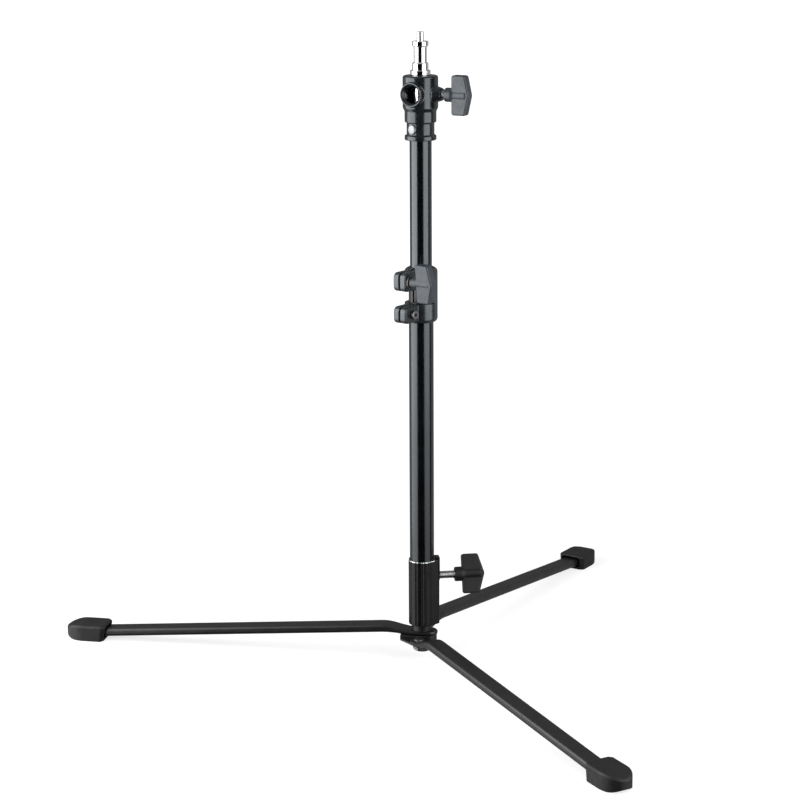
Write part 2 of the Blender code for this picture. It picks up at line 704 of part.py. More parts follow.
def ear_heights():
    """Low and high ends of the upper and of the lower pair of ears."""
    upper = COLLAR_TOP - EAR_MARGIN
    lower = COLLAR_Z + LOWER_EAR_RISE
    return (upper - UPPER_EAR_HEIGHT, upper), (lower, lower + LOWER_EAR_HEIGHT)


def build_collar(mats):
    """Split collar: two pairs of ears, a slit through them, and a window between the pairs."""
    c = COLLAR_CHAMFER
    body = turned([(0.0, COLLAR_Z), (COLLAR_R - c, COLLAR_Z), (COLLAR_R, COLLAR_Z + c),
                   (COLLAR_R, COLLAR_TOP - c), (COLLAR_R - c, COLLAR_TOP), (0.0, COLLAR_TOP)])
    collar = finish_mesh("clamp_collar", body, mats["collar"])
    turn = Matrix.Rotation(math.radians(EAR_AZ), 4, "Z")
    upper, lower = ear_heights()
    inner = TUBE_BORE_R - EAR_THICK
    for name, (low, high) in (("upper", upper), ("lower", lower)):
        ears = prism([(inner, -EAR_FACE), (EAR_REACH, -EAR_FACE), (EAR_REACH, EAR_FACE), (inner, EAR_FACE)],
                     low, high)
        edges = [e for e in ears.edges if min(v.co.x for v in e.verts) > EAR_REACH - FIT]
        bmesh.ops.bevel(ears, geom=edges, offset=EAR_ROUND, segments=2, profile=0.5, affect="EDGES")
        boolean(collar, tool("collar_ears_" + name, ears, turn), "UNION")
    wide = COLLAR_R + CUT
    out = EAR_REACH + CUT
    window = prism([(-SLOT_BACK, -wide), (out, -wide), (out, wide), (-SLOT_BACK, wide)], lower[1], upper[0])
    boolean(collar, tool("collar_slot", window, turn), "DIFFERENCE")
    half = EAR_GAP / 2
    slit = prism([(inner, -half), (out, -half), (out, half), (inner, half)], COLLAR_Z - CUT, COLLAR_TOP + CUT)
    boolean(collar, tool("collar_slit", slit, turn), "DIFFERENCE")
    boolean(collar, tool("collar_bore", rod(TUBE_BORE_R, COLLAR_Z - CUT, COLLAR_TOP + CUT)), "DIFFERENCE")
    return collar


def build_liner(mats):
    """Split plastic bushing between the collar and the upper tube."""
    inner = UPPER_TUBE_R + FIT
    outer = TUBE_BORE_R - FIT
    low = LOWER_TUBE_TOP + FIT
    liner = finish_mesh("collar_liner", ring(inner, outer, low, COLLAR_TOP + LINER_RIM), mats["plastic"])
    half = LINER_SLIT / 2
    near = inner - CUT
    far = outer + CUT
    slit = prism([(near, -half), (far, -half), (far, half), (near, half)], low - CUT, COLLAR_TOP + CUT)
    turn = Matrix.Rotation(math.radians(EAR_AZ), 4, "Z")
    boolean(liner, tool("liner_slit", slit, turn), "DIFFERENCE")


def bored_nut(name, place, flats, low, high, bore, mat):
    nut = finish_mesh(name, prism(hexagon(flats), low, high), mat, matrix=place)
    hole = rod(bore, low - CUT, high + CUT, segments=SMALL_SEGMENTS)
    boolean(nut, tool(name + "_hole", hole, place), "DIFFERENCE")


def build_clamp(mats, collar):
    """Clamp screw through the upper ears: knob and washer in front, nut sunk in the far ear."""
    low, high = ear_heights()[0]
    across = EAR_AZ + 90.0
    origin = direction(EAR_AZ) * CLAMP_BOLT_OUT + Vector((0, 0, (low + high) / 2))
    place = along(across, origin)
    hole = rod(CLAMP_BOLT_R + SCREW_FIT, -EAR_FACE - CUT, EAR_FACE + CUT, segments=SMALL_SEGMENTS)
    boolean(collar, tool("collar_hole_upper", hole, place), "DIFFERENCE")
    nut_high = -EAR_FACE + CLAMP_NUT_THICK
    pocket = prism(hexagon(CLAMP_NUT_FLATS + 2 * FIT), -EAR_FACE - CUT, nut_high + FIT)
    boolean(collar, tool("collar_nut_pocket", pocket, place), "DIFFERENCE")
    nut_bore = CLAMP_BOLT_R + SCREW_FIT
    bored_nut("clamp_nut", place, CLAMP_NUT_FLATS, -EAR_FACE, nut_high, nut_bore, mats["zinc"])
    washer_low = EAR_FACE + FIT
    washer_high = washer_low + CLAMP_WASHER_THICK
    washer_r = KNOB_HUB_R - KNOB_EDGE_R / 2
    washer = ring(nut_bore, washer_r, washer_low, washer_high, SMALL_SEGMENTS)
    finish_mesh("clamp_washer", washer, mats["rivet"], matrix=place)
    start = washer_high + FIT
    c = TURNED_CHAMFER
    stud = turned([(0.0, -EAR_FACE), (CLAMP_BOLT_R - c, -EAR_FACE), (CLAMP_BOLT_R, -EAR_FACE + c),
                   (CLAMP_BOLT_R, start + FIT), (STUD_R, start + FIT + c), (STUD_R, start + STUD_GRIP),
                   (0.0, start + STUD_GRIP)], SMALL_SEGMENTS)
    finish_mesh("clamp_stud", stud, mats["stud"], matrix=place)
    size = (KNOB_SPAN, KNOB_TIP_DEPTH, KNOB_MID_DEPTH)
    knob("clamp_knob", knob_place(across, origin, start, CLAMP_KNOB_TURN), size, mats["knob"])


def build_lock_screw(mats, collar):
    """Socket screw and nut that hold the collar on the lower tube, through the lower ears."""
    low, high = ear_heights()[1]
    origin = direction(EAR_AZ) * LOCK_SCREW_OUT + Vector((0, 0, (low + high) / 2))
    place = along(EAR_AZ + 90.0, origin)
    hole = rod(LOCK_SCREW_R + SCREW_FIT, -EAR_FACE - CUT, EAR_FACE + CUT, segments=SMALL_SEGMENTS)
    boolean(collar, tool("collar_hole_lower", hole, place), "DIFFERENCE")
    nut_high = -EAR_FACE - FIT
    nut_low = nut_high - LOCK_NUT_THICK
    head_low = EAR_FACE + FIT
    top = head_low + LOCK_HEAD_H
    c = TURNED_CHAMFER
    loop = [(0.0, nut_low - c), (LOCK_SCREW_R - c, nut_low - c), (LOCK_SCREW_R, nut_low),
            (LOCK_SCREW_R, head_low), (LOCK_HEAD_R, head_low), (LOCK_HEAD_R, top - c),
            (LOCK_HEAD_R - c, top), (0.0, top)]
    screw = finish_mesh("lock_screw", turned(loop, SMALL_SEGMENTS), mats["stud"], matrix=place)
    socket = prism(hexagon(LOCK_HEX_FLATS), top - LOCK_SOCKET_DEPTH, top + CUT)
    boolean(screw, tool("lock_screw_socket", socket, place), "DIFFERENCE")
    nut_bore = LOCK_SCREW_R + SCREW_FIT
    bored_nut("lock_nut", place, LOCK_NUT_FLATS, nut_low, nut_high, nut_bore, mats["zinc"])


# Head

def head_profile():
    c = TURNED_CHAMFER
    z = HEAD_Z
    loop = [(0.0, z), (FLANGE_R - c, z), (FLANGE_R, z + 2 * c), (FLANGE_R - c, z + FLANGE_H - 3 * c)]
    z += FLANGE_H
    loop += [(WAIST_R + c, z), (WAIST_R, z + c)]
    z += WAIST_H
    loop += [(WAIST_R, z - c), (NECK_R - c, z), (NECK_R, z + c)]
    z += NECK_H
    loop.append((NECK_R, z))
    z += SHOULDER_H
    top = HEAD_TOP
    loop += [(HEAD_R, z), (HEAD_R, top - 3 * c), (HEAD_R - c, top - c), (HEAD_R - 3 * c, top), (0.0, top)]
    return loop


def build_head(mats):
    """Turned casting with the spigot's socket, the cross bore with its rim, and the screw's boss."""
    head = finish_mesh("head_casting", turned(head_profile()), mats["head"])
    centre = (0, 0, BORE_Z)
    bore_place = along(BORE_AZ, centre)
    screw_place = along(HEAD_KNOB_AZ, centre)
    inner = SPIGOT_R - CUT
    boolean(head, tool("head_boss", rod(BORE_RIM, inner, BORE_FACE), bore_place), "UNION")
    c = TURNED_CHAMFER
    tip = STUD_BOSS_TIP_R
    boss = turned([(0.0, inner), (STUD_BOSS_R, inner), (STUD_BOSS_R, HEAD_R), (tip, STUD_BOSS_REACH - c),
                   (tip - c, STUD_BOSS_REACH), (0.0, STUD_BOSS_REACH)], SMALL_SEGMENTS)
    boolean(head, tool("head_stud_boss", boss, screw_place), "UNION")
    wide = UPPER_TUBE_R + FIT
    narrow = SPIGOT_R + FIT
    seat = HEAD_Z + TUBE_SEAT
    socket = turned([(0.0, HEAD_Z - CUT), (wide, HEAD_Z - CUT), (wide, seat), (narrow, seat),
                     (narrow, HEAD_TOP + CUT), (0.0, HEAD_TOP + CUT)])
    boolean(head, tool("head_socket", socket), "DIFFERENCE")
    c = BORE_CHAMFER
    cross = turned([(0.0, -HEAD_R - CUT), (BORE_R, -HEAD_R - CUT), (BORE_R, BORE_FACE - c),
                    (BORE_R + c + CUT, BORE_FACE + CUT), (0.0, BORE_FACE + CUT)])
    boolean(head, tool("head_cross_bore", cross, bore_place), "DIFFERENCE")
    hole = rod(STUD_R + SCREW_FIT, inner, STUD_BOSS_REACH + CUT, segments=SMALL_SEGMENTS)
    boolean(head, tool("head_stud_hole", hole, screw_place), "DIFFERENCE")
    return head


def build_head_rivet(mats, head):
    """Rivet that holds the head on the upper tube."""
    centre = (0, 0, HEAD_Z + FLANGE_H + WAIST_H / 2 - HEAD_PIN_DROP)
    place = along(HEAD_RIVET_AZ, centre)
    hole = rod(HEAD_PIN_R + SCREW_FIT, UPPER_TUBE_R - CUT, WAIST_R + CUT, segments=SMALL_SEGMENTS)
    boolean(head, tool("head_pin_hole", hole, place), "DIFFERENCE")
    start = UPPER_TUBE_R + FIT
    face = WAIST_R + FIT
    loop = [(0.0, start), (HEAD_PIN_R, start), (HEAD_PIN_R, face)]
    loop += [(HEAD_RIVET_R * x, face + HEAD_RIVET_H * z) for x, z in arc(0.0, 0.0, 1.0, 0, 90, 4)[:-1]]
    loop.append((0.0, face + HEAD_RIVET_H))
    finish_mesh("head_rivet", turned(loop, SMALL_SEGMENTS), mats["chrome"], matrix=place)


def build_head_screw(mats):
    origin = (0, 0, BORE_Z)
    start = STUD_BOSS_REACH + HEAD_KNOB_OUT
    pressing_screw("head_knob", HEAD_KNOB_AZ, origin, SPIGOT_R + FIT, start, mats)
    size = (KNOB_SPAN, KNOB_TIP_DEPTH, KNOB_MID_DEPTH)
    knob("head_knob", knob_place(HEAD_KNOB_AZ, origin, start), size, mats["knob"])


def build_spigot(mats):
    """Stepped stud: shank in the head, flange on its top, land, waist, top land and tip."""
    c = TURNED_CHAMFER
    z = HEAD_TOP + FIT
    r = SPIGOT_R
    loop = [(0.0, z - SPIGOT_SHANK), (r - c, z - SPIGOT_SHANK), (r, z - SPIGOT_SHANK + c), (r, z)]
    f = SPIGOT_FLANGE_R
    loop += [(f - c, z), (f, z + c), (f, z + SPIGOT_FLANGE_H - c), (f - c, z + SPIGOT_FLANGE_H)]
    z += SPIGOT_FLANGE_H
    loop += [(r, z), (r, z + SPIGOT_LAND - c), (r - c, z + SPIGOT_LAND)]
    z += SPIGOT_LAND
    w = SPIGOT_WAIST_R
    fillet = r - w - c
    loop += [(w, z + fillet), (w, z + SPIGOT_WAIST - fillet)]
    z += SPIGOT_WAIST
    loop += [(r - c, z), (r, z + c), (r, z + SPIGOT_TOP_LAND - c), (r - c, z + SPIGOT_TOP_LAND)]
    z += SPIGOT_TOP_LAND
    t = SPIGOT_TIP_R
    loop += [(t, z), (t, z + SPIGOT_TIP - c), (t - c, z + SPIGOT_TIP), (0.0, z + SPIGOT_TIP)]
    finish_mesh("spigot", turned(loop), mats["chrome"])


def centre_on_footprint():
    """Move everything so that the middle of the footprint's bounding box is the origin."""
    bpy.context.view_layer.update()
    corners = []
    for obj in bpy.data.objects:
        if obj.name.startswith("foot_"):
            corners += [obj.matrix_world @ v.co for v in obj.data.vertices]
    x = (min(c.x for c in corners) + max(c.x for c in corners)) / 2
    y = (min(c.y for c in corners) + max(c.y for c in corners)) / 2
    print("column axis at", round(-x, 6), round(-y, 6))
    root = bpy.data.objects.new("stand_origin", None)
    bpy.context.scene.collection.objects.link(root)
    for obj in bpy.data.objects:
        if obj is not root and obj.parent is None:
            obj.parent = root
    root.location = (-x, -y, 0.0)


def build_materials():
    """Colour, roughness and metallic value of each finish on the stand."""
    finishes = {
        "leg": ("leg_black", (0.018, 0.018, 0.019), 0.45, 0.0),
        "rivet": ("rivet_dark", (0.05, 0.05, 0.05), 0.4, 0.6),
        "zinc": ("zinc", (0.55, 0.55, 0.56), 0.35, 1.0),
        "rubber": ("rubber", (0.016, 0.016, 0.017), 0.7, 0.0),
        "base_black": ("sleeve_black", (0.022, 0.022, 0.023), 0.4, 0.0),
        "base_knob": ("base_knob_plastic", (0.045, 0.045, 0.047), 0.5, 0.0),
        "tube": ("tube_anodised", (0.03, 0.034, 0.038), 0.25, 0.8),
        "plastic": ("plastic_black", (0.02, 0.02, 0.021), 0.5, 0.0),
        "collar": ("collar_paint", (0.035, 0.04, 0.046), 0.42, 0.0),
        "head": ("head_paint", (0.028, 0.032, 0.036), 0.38, 0.0),
        "knob": ("knob_plastic", (0.06, 0.072, 0.085), 0.5, 0.0),
        "stud": ("steel_bright", (0.66, 0.66, 0.67), 0.25, 1.0),
        "chrome": ("chrome", (0.8, 0.8, 0.81), 0.08, 1.0),
        "pad": ("pad_brass", (0.55, 0.42, 0.2), 0.4, 1.0),
    }
    return {key: material(*values) for key, values in finishes.items()}


def main():
    clear_scene()
    mats = build_materials()
    rear, front = build_hub(mats)
    build_legs(mats, rear, front)
    build_bolt(mats)
    build_sleeve(mats)
    build_sleeve_plug(mats)
    build_base_screw(mats)
    build_tubes(mats)
    collar = build_collar(mats)
    build_liner(mats)
    build_clamp(mats, collar)
    build_lock_screw(mats, collar)
    head = build_head(mats)
    build_head_rivet(mats, head)
    build_head_screw(mats)
    build_spigot(mats)
    centre_on_footprint()


main()
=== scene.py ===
# %% [markdown]
# # A low folding backdrop stand
# The stand has a base with three flat-bar legs, a column of two tubes that slide in each other, and a
# head that takes a lamp. The imported CAD model gives every size and place, and here each of its pieces
# gets a smooth surface and its real finish. The first step loads the model and keeps its pieces, so that
# each new piece can print how far it lies from its CAD box. Shapes are drawn in millimetres. Blender counts
# in metres, so every shape is divided by a thousand as it goes to its place.

# %% Load the frame and find the column's axis
import math

import bmesh
import bpy
import numpy as np
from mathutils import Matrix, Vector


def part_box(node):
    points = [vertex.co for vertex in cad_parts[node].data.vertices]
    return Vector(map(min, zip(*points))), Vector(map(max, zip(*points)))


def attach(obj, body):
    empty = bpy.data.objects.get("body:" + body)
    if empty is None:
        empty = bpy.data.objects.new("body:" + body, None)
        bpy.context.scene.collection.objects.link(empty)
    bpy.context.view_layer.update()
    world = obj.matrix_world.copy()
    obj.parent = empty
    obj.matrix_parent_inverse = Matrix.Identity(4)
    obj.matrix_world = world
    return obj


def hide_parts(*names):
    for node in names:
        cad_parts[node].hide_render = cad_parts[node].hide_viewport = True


MM_PER_M = 1000.0
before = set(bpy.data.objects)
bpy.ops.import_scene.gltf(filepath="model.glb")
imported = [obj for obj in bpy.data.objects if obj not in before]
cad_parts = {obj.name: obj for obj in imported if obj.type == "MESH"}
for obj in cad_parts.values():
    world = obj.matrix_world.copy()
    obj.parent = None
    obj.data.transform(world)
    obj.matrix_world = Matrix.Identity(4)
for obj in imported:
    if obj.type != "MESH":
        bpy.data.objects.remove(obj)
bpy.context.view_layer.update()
tube_low, tube_high = (np.array(corner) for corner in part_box("upper_tube"))
AXIS = (tube_low + tube_high) / 2 * np.array([1.0, 1.0, 0.0])
print("column axis, mm:", np.round(AXIS * MM_PER_M, 3))

# %% [markdown]
# ## Ways to place a piece
# Most pieces are made round their own axis and then carried to their place. Upright pieces stand on
# the column's axis and face along a leg. Screws lie level and point outwards, so their frame has its Z
# axis level and its X axis up. A frame here is three axes, written as the columns of a matrix, and an
# origin.


# %% Frames for upright pieces and for screws
def heading(az):
    """Level unit vector at azimuth az in degrees: (cos az, sin az, 0)."""
    a = math.radians(az)
    return np.array([math.cos(a), math.sin(a), 0.0])


def standing(az=0.0, origin=(0.0, 0.0, 0.0)):
    """Frame with Z up and X along az."""
    return np.column_stack([heading(az), heading(az + 90.0), (0.0, 0.0, 1.0)]), np.array(origin)


def lying(az, origin, turn=0.0):
    """Frame with Z along az and X up, then turned about Z by turn degrees."""
    z = heading(az)
    x = np.array([0.0, 0.0, 1.0])
    y = np.cross(z, x)
    c, s = math.cos(math.radians(turn)), math.sin(math.radians(turn))
    return np.column_stack([c * x + s * y, c * y - s * x, z]), np.array(origin)


def carried(points, place):
    """Each point p goes to axes times p, plus the origin, in metres from the column's axis."""
    axes, origin = place
    return (points @ axes.T + origin) / MM_PER_M + AXIS


UPRIGHT = standing()
print("screws at azimuth 8 degrees point along", np.round(heading(8.0), 3))

# %% [markdown]
# ## Profiles with rounded corners
# Real edges are never quite sharp, and the small rounding is what catches the light. So every profile
# is drawn with sharp corners first, and one function rounds them. A second function adds a point just
# inside each end of a long straight run: it keeps the shading of the flat part flat.


# %% Round a profile's corners and hold its straight runs
TINY, SAME_POINT = 1e-12, 1e-4
HOLD, LONG_RUN = 0.2, 1.2


def eased(corners, radii, steps=5):
    """Rounds the corners of a closed path. An arc of radius r touches both sides at r / tan(half the
    corner's angle) from the corner. Its points turn evenly from one touching point to the other."""
    p = np.asarray(corners, float)
    r = np.broadcast_to(np.asarray(radii, float), (len(p),))[:, None]
    before = np.roll(p, 1, axis=0) - p
    after = np.roll(p, -1, axis=0) - p
    room = [np.linalg.norm(side, axis=1, keepdims=True) for side in (before, after)]
    a = before / np.maximum(room[0], TINY)
    b = after / np.maximum(room[1], TINY)
    half = np.arccos(np.clip((a * b).sum(axis=1, keepdims=True), -1.0, 1.0)) / 2
    half = np.clip(half, 1e-4, math.pi / 2 - 1e-6)
    reach = np.minimum(r / np.tan(half), 0.49 * np.minimum(room[0], room[1]))
    r = reach * np.tan(half)
    middle = a + b
    middle /= np.maximum(np.linalg.norm(middle, axis=1, keepdims=True), TINY)
    centre = p + middle * r / np.sin(half)
    u = (p + a * reach - centre)[:, None, :]
    v = (p + b * reach - centre)[:, None, :]
    sweep = (math.pi - 2 * half)[:, None, :]
    t = np.linspace(0.0, 1.0, steps + 1)[None, :, None]
    arcs = centre[:, None, :] + (np.sin((1 - t) * sweep) * u + np.sin(t * sweep) * v) / np.sin(sweep)
    line = arcs.reshape(-1, p.shape[1])
    return line[np.linalg.norm(line - np.roll(line, 1, axis=0), axis=1) > SAME_POINT]


def held(path, closed):
    """Adds a point at distance HOLD inside both ends of every run that is longer than LONG_RUN."""
    start = path if closed else path[:-1]
    end = np.roll(path, -1, axis=0) if closed else path[1:]
    length = np.linalg.norm(end - start, axis=1, keepdims=True)
    unit = (end - start) / np.maximum(length, TINY)
    trio = np.stack([start, start + unit * HOLD, end - unit * HOLD], axis=1)
    keep = np.ones(trio.shape[:2], bool)
    keep[:, 1:] = length > LONG_RUN + SAME_POINT
    out = trio[keep]
    return out if closed else np.vstack([out, path[-1:]])


def quarter_turn(steps):
    return np.linspace(0.0, math.pi / 2, steps + 1)


def quarter_round(steps):
    """Inset and drop of a rounding with radius one: 1 - cos t and 1 - sin t over a quarter turn."""
    return 1 - np.cos(quarter_turn(steps)), 1 - np.sin(quarter_turn(steps))


def rectangle(left, right, low, high):
    return np.array([(left, low), (right, low), (right, high), (left, high)], float)


print("a rounded square has", len(eased(rectangle(0, 1, 0, 1), 0.2)), "points")

# %% [markdown]
# ## Ways to make a surface
# A turned piece is a profile carried round an axis. A plate is an outline drawn inwards a little as it
# reaches each face, which rounds its rims. A rowed piece gives its distance from the axis row by row,
# for shapes that are not round. All of these are whole arrays of points, and only the list of faces
# tells how they join.


# %% Grids, turned pieces and plates
def grid_faces(rows, columns, wrap_rows=False, wrap_columns=False):
    """Point (i, j) has number i * columns + j; each face joins (i, j), (i+1, j), (i+1, j+1), (i, j+1)."""
    i, j = np.meshgrid(np.arange(rows if wrap_rows else rows - 1),
                       np.arange(columns if wrap_columns else columns - 1), indexing="ij")
    i, j = i.ravel(), j.ravel()
    k, l = (i + 1) % rows, (j + 1) % columns
    return np.stack([i * columns + j, k * columns + j, k * columns + l, i * columns + l], axis=1).tolist()


def capped(rows, columns, near_end=True):
    """Faces of a tube made of rows, closed at its far end and, unless told not to, at its near end."""
    first = list(range(columns))
    caps = [[(rows - 1) * columns + i for i in first]] + ([first[::-1]] if near_end else [])
    return grid_faces(rows, columns, False, True) + caps


def circle(around):
    return np.linspace(0.0, 2 * math.pi, around, endpoint=False)


def rays(a):
    """Level unit vectors at the angles a."""
    return np.column_stack([np.cos(a), np.sin(a)])


def rowed(r, z, ring, angles=None):
    """Row i has the distances r[i] from the axis, at height z[i]: the point at angle a is
    (r cos a, r sin a, z). A ring's last row joins its first."""
    a = circle(r.shape[1]) if angles is None else angles
    points = np.stack([r * np.cos(a), r * np.sin(a), np.repeat(np.asarray(z)[:, None], len(a), axis=1)],
                      axis=-1)
    return points.reshape(-1, 3), grid_faces(len(r), len(a), ring, True)


def round_rows(radii, around=96):
    return np.repeat(np.asarray(radii, float)[:, None], around, axis=1)


def turned(corners, radii=0.0, around=96, ring=False):
    """A profile (r, z) with rounded corners, carried round the axis. A ring's profile is a closed loop;
    any other begins and ends on the axis."""
    corners = np.asarray(corners, float)
    line = held(eased(corners, np.where(corners[:, 0] > 1e-6, radii, 0.0)), ring)
    return rowed(round_rows(line[:, 0], around), line[:, 1], ring)


def rod(radius, low, high, rims=0.0, around=64):
    """A turned cylinder between two heights."""
    return turned(rectangle(0, radius, low, high), rims, around)


def tube(inner, outer, low, high, rims, around=96):
    """A turned ring with a square section."""
    return turned(rectangle(inner, outer, low, high), rims, around, True)


def plate(outline, low, high, rim=0.5, steps=5, near=HOLD):
    """Rows of the outline, moved inwards by rim (1 - cos t) while the height runs to rim (1 - sin t)
    from the face, for t from 0 to a quarter turn; the two faces close it."""
    before = outline - np.roll(outline, 1, axis=0)
    after = np.roll(outline, -1, axis=0) - outline
    normals = [np.column_stack([s[:, 1], -s[:, 0]]) / np.linalg.norm(s, axis=1, keepdims=True)
               for s in (before, after)]
    both = normals[0] + normals[1]
    miter = both / (1.0 + (normals[0] * normals[1]).sum(axis=1, keepdims=True))
    inset, rise = (rim * share for share in quarter_round(steps))
    insets = np.concatenate([[rim + near], inset[::-1], [0.0, 0.0], inset, [rim + near]])
    walls = [low + rim + near, high - rim - near]
    heights = np.concatenate([[low], low + rise[::-1], walls, high - rise, [high]])
    flat = outline[None] - insets[:, None, None] * miter[None]
    z = np.broadcast_to(heights[:, None, None], flat.shape[:2] + (1,))
    return np.concatenate([flat, z], axis=-1).reshape(-1, 3), capped(len(heights), len(outline))


def prism(outline, low, high):
    """A plate with all but sharp rims, for cutting pockets."""
    return plate(outline, low, high, rim=0.01, steps=1, near=0.01)


def on_edge(shape):
    """The same plate with its thickness level, along the second axis."""
    points, faces = shape
    return points[:, [0, 2, 1]], faces


print("a turned disc has", len(rod(1.0, 0.0, 1.0, 0.1)[0]), "points")

# %% [markdown]
# ## From arrays to Blender objects
# The arrays go into a mesh, double points at seams and poles are merged, and the faces are made to
# point outwards. Pieces with holes are joined and cut with the exact Boolean, and each result is baked
# into a plain mesh at once. A casting or a moulding gets one more step: its skin is drawn again on a
# fine voxel grid and relaxed a little, which leaves the small fillets that a mould gives.

# %% Solids, cuts and moulded skins
MERGE_M, WELD_M = 2e-7, 2e-6


def added(name, data):
    """A new object in the scene."""
    obj = bpy.data.objects.new(name, data)
    bpy.context.scene.collection.objects.link(obj)
    return obj


def solid(name, shape, place=UPRIGHT):
    """An object from (points, faces), in its place, closed, with its faces outwards."""
    points, faces = shape
    mesh = bpy.data.meshes.new(name)
    mesh.from_pydata(carried(points, place), [], faces)
    bm = bmesh.new()
    bm.from_mesh(mesh)
    bmesh.ops.remove_doubles(bm, verts=bm.verts, dist=MERGE_M)
    bmesh.ops.dissolve_degenerate(bm, edges=bm.edges, dist=MERGE_M)
    bmesh.ops.recalc_face_normals(bm, faces=bm.faces)
    bm.to_mesh(mesh)
    bm.free()
    return added(name, mesh)


def baked(obj):
    """Replaces the mesh by the result of the modifiers."""
    evaluated = obj.evaluated_get(bpy.context.evaluated_depsgraph_get())
    mesh = bpy.data.meshes.new_from_object(evaluated)
    obj.modifiers.clear()
    obj.data = mesh
    return obj


def worked(obj, joined=(), cut=()):
    """Joins other solids on and cuts others away; they are used up."""
    for operation, tools in (("UNION", joined), ("DIFFERENCE", cut)):
        for tool in tools:
            step = obj.modifiers.new(operation, "BOOLEAN")
            step.operation = operation
            step.solver = "EXACT"
            step.object = tool
            obj.modifiers.new("weld", "WELD").merge_threshold = WELD_M
    baked(obj)
    for tool in (*joined, *cut):
        bpy.data.objects.remove(tool)
    return obj


def moulded(obj, voxel, relax):
    """Draws the skin again on a voxel grid and relaxes it, for small fillets in every corner."""
    redrawn = obj.modifiers.new("skin", "REMESH")
    redrawn.mode = "VOXEL"
    redrawn.voxel_size = voxel / MM_PER_M
    ease = obj.modifiers.new("ease", "SMOOTH")
    ease.factor = 0.5
    ease.iterations = relax
    return baked(obj)


# %% Shading, edge bends and the finishing of a piece
def shaded(obj, angle=35.0):
    obj.data.shade_smooth()
    obj.data.set_sharp_from_angle(angle=math.radians(angle))
    return obj


def mark_edges(obj):
    """Stores each point's mean bend in 1/mm, convex above zero: for the edges that meet there, the
    change of the normal along the edge, divided by the edge's length."""
    mesh = obj.data
    count = len(mesh.vertices)
    co = np.empty(count * 3)
    no = np.empty(count * 3)
    ends = np.empty(len(mesh.edges) * 2, np.int32)
    mesh.vertices.foreach_get("co", co)
    mesh.vertices.foreach_get("normal", no)
    mesh.edges.foreach_get("vertices", ends)
    co, no, ends = co.reshape(-1, 3), no.reshape(-1, 3), ends.reshape(-1, 2)
    along = co[ends[:, 1]] - co[ends[:, 0]]
    turn = no[ends[:, 1]] - no[ends[:, 0]]
    bend = (along * turn).sum(axis=1) / np.maximum((along ** 2).sum(axis=1), TINY)
    total = np.bincount(ends.ravel(), np.repeat(bend, 2), count)
    number = np.bincount(ends.ravel(), minlength=count)
    mean = np.clip(total / np.maximum(number, 1) / MM_PER_M, -2.0, 2.0)
    mesh.attributes.new("bend", "FLOAT", "POINT").data.foreach_set("value", mean.astype(np.float32))


def fitted(obj, body, finish, node):
    """Gives the piece its finish and ties it to its body, in place of its CAD node."""
    mark_edges(obj)
    obj.data.materials.clear()
    obj.data.materials.append(finish)
    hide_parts(node)
    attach(obj, body)
    points = np.empty(len(obj.data.vertices) * 3)
    obj.data.vertices.foreach_get("co", points)
    points = points.reshape(-1, 3)
    low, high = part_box(node)
    apart = np.abs([points.min(axis=0) - low, points.max(axis=0) - high]).max() * MM_PER_M
    print(f"{obj.name}: {len(obj.data.polygons)} faces, within {apart:.2f} mm of its CAD box")
    return obj


def piece(name, shape, place, body, finish, angle=35.0):
    """A finished piece that is one shape, with nothing joined or cut."""
    return fitted(shaded(solid(name, shape, place), angle), body, finish, name)


def cad_heights(name):
    """Lowest and highest z of a CAD node, in millimetres."""
    return [corner[2] * MM_PER_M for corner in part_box(name)]


print("the lower tube's ends, mm:", np.round(cad_heights("lower_tube"), 1))

# %% [markdown]
# ## Shared effects
# Four effects come back in several finishes, so each is a node group. The grain gives a fine skin, such
# as the orange peel of powder coat or the spark finish of moulded nylon. The mottle gives slow changes
# over the surface, for roughness and colour. The wear is strongest where the surface bends outwards,
# which was stored with each piece; on the sleeve the same lighter edges also stand for painted
# highlights along its ribs. The lathe lines run round an axis, as on turned or drawn metal.


# %% A small kit for writing node trees
class Nodes:
    """Adds nodes to a tree, eight to a row, and links them."""

    def __init__(self, tree):
        self.tree = tree
        self.count = 0

    def add(self, kind, **values):
        node = self.tree.nodes.new(kind)
        node.location = (180 * (self.count % 8), -220 * (self.count // 8))
        self.count += 1
        for key, value in values.items():
            setattr(node, key, value)
        return node

    def link(self, source, target):
        self.tree.links.new(source, target)

    def feed(self, target, value):
        if isinstance(value, bpy.types.NodeSocket):
            self.link(value, target)
        else:
            target.default_value = value

    def fill(self, node, **values):
        for key, value in values.items():
            self.feed(node.inputs[key.replace("_", " ")], value)
        return node.outputs[0]

    def pair(self, node, a, b):
        self.feed(node.inputs[0], a)
        self.feed(node.inputs[1], b)
        return node.outputs[0]

    def math(self, operation, a, b=0.0):
        return self.pair(self.add("ShaderNodeMath", operation=operation), a, b)

    def vector(self, operation, a, b):
        return self.pair(self.add("ShaderNodeVectorMath", operation=operation), a, b)

    def blend(self, factor, a, b):
        node = self.add("ShaderNodeMix", data_type="RGBA")
        for number, value in ((0, factor), (6, a), (7, b)):
            self.feed(node.inputs[number], value)
        return node.outputs[2]

    def between(self, value, low, high, to_low=0.0, to_high=1.0):
        return self.fill(self.add("ShaderNodeMapRange", interpolation_type="SMOOTHSTEP"), Value=value,
                         From_Min=low, From_Max=high, To_Min=to_low, To_Max=to_high)

    def noise(self, place, scale, detail, rough):
        return self.fill(self.add("ShaderNodeTexNoise"), Vector=place, Scale=scale, Detail=detail,
                         Roughness=rough)

    def effect(self, tree, **values):
        node = self.add("ShaderNodeGroup")
        node.node_tree = tree
        return self.fill(node, **values)


def empty_tree(owner):
    owner.use_nodes = True
    owner.node_tree.nodes.clear()
    return Nodes(owner.node_tree)


FLOAT, VECTOR = "NodeSocketFloat", "NodeSocketVector"


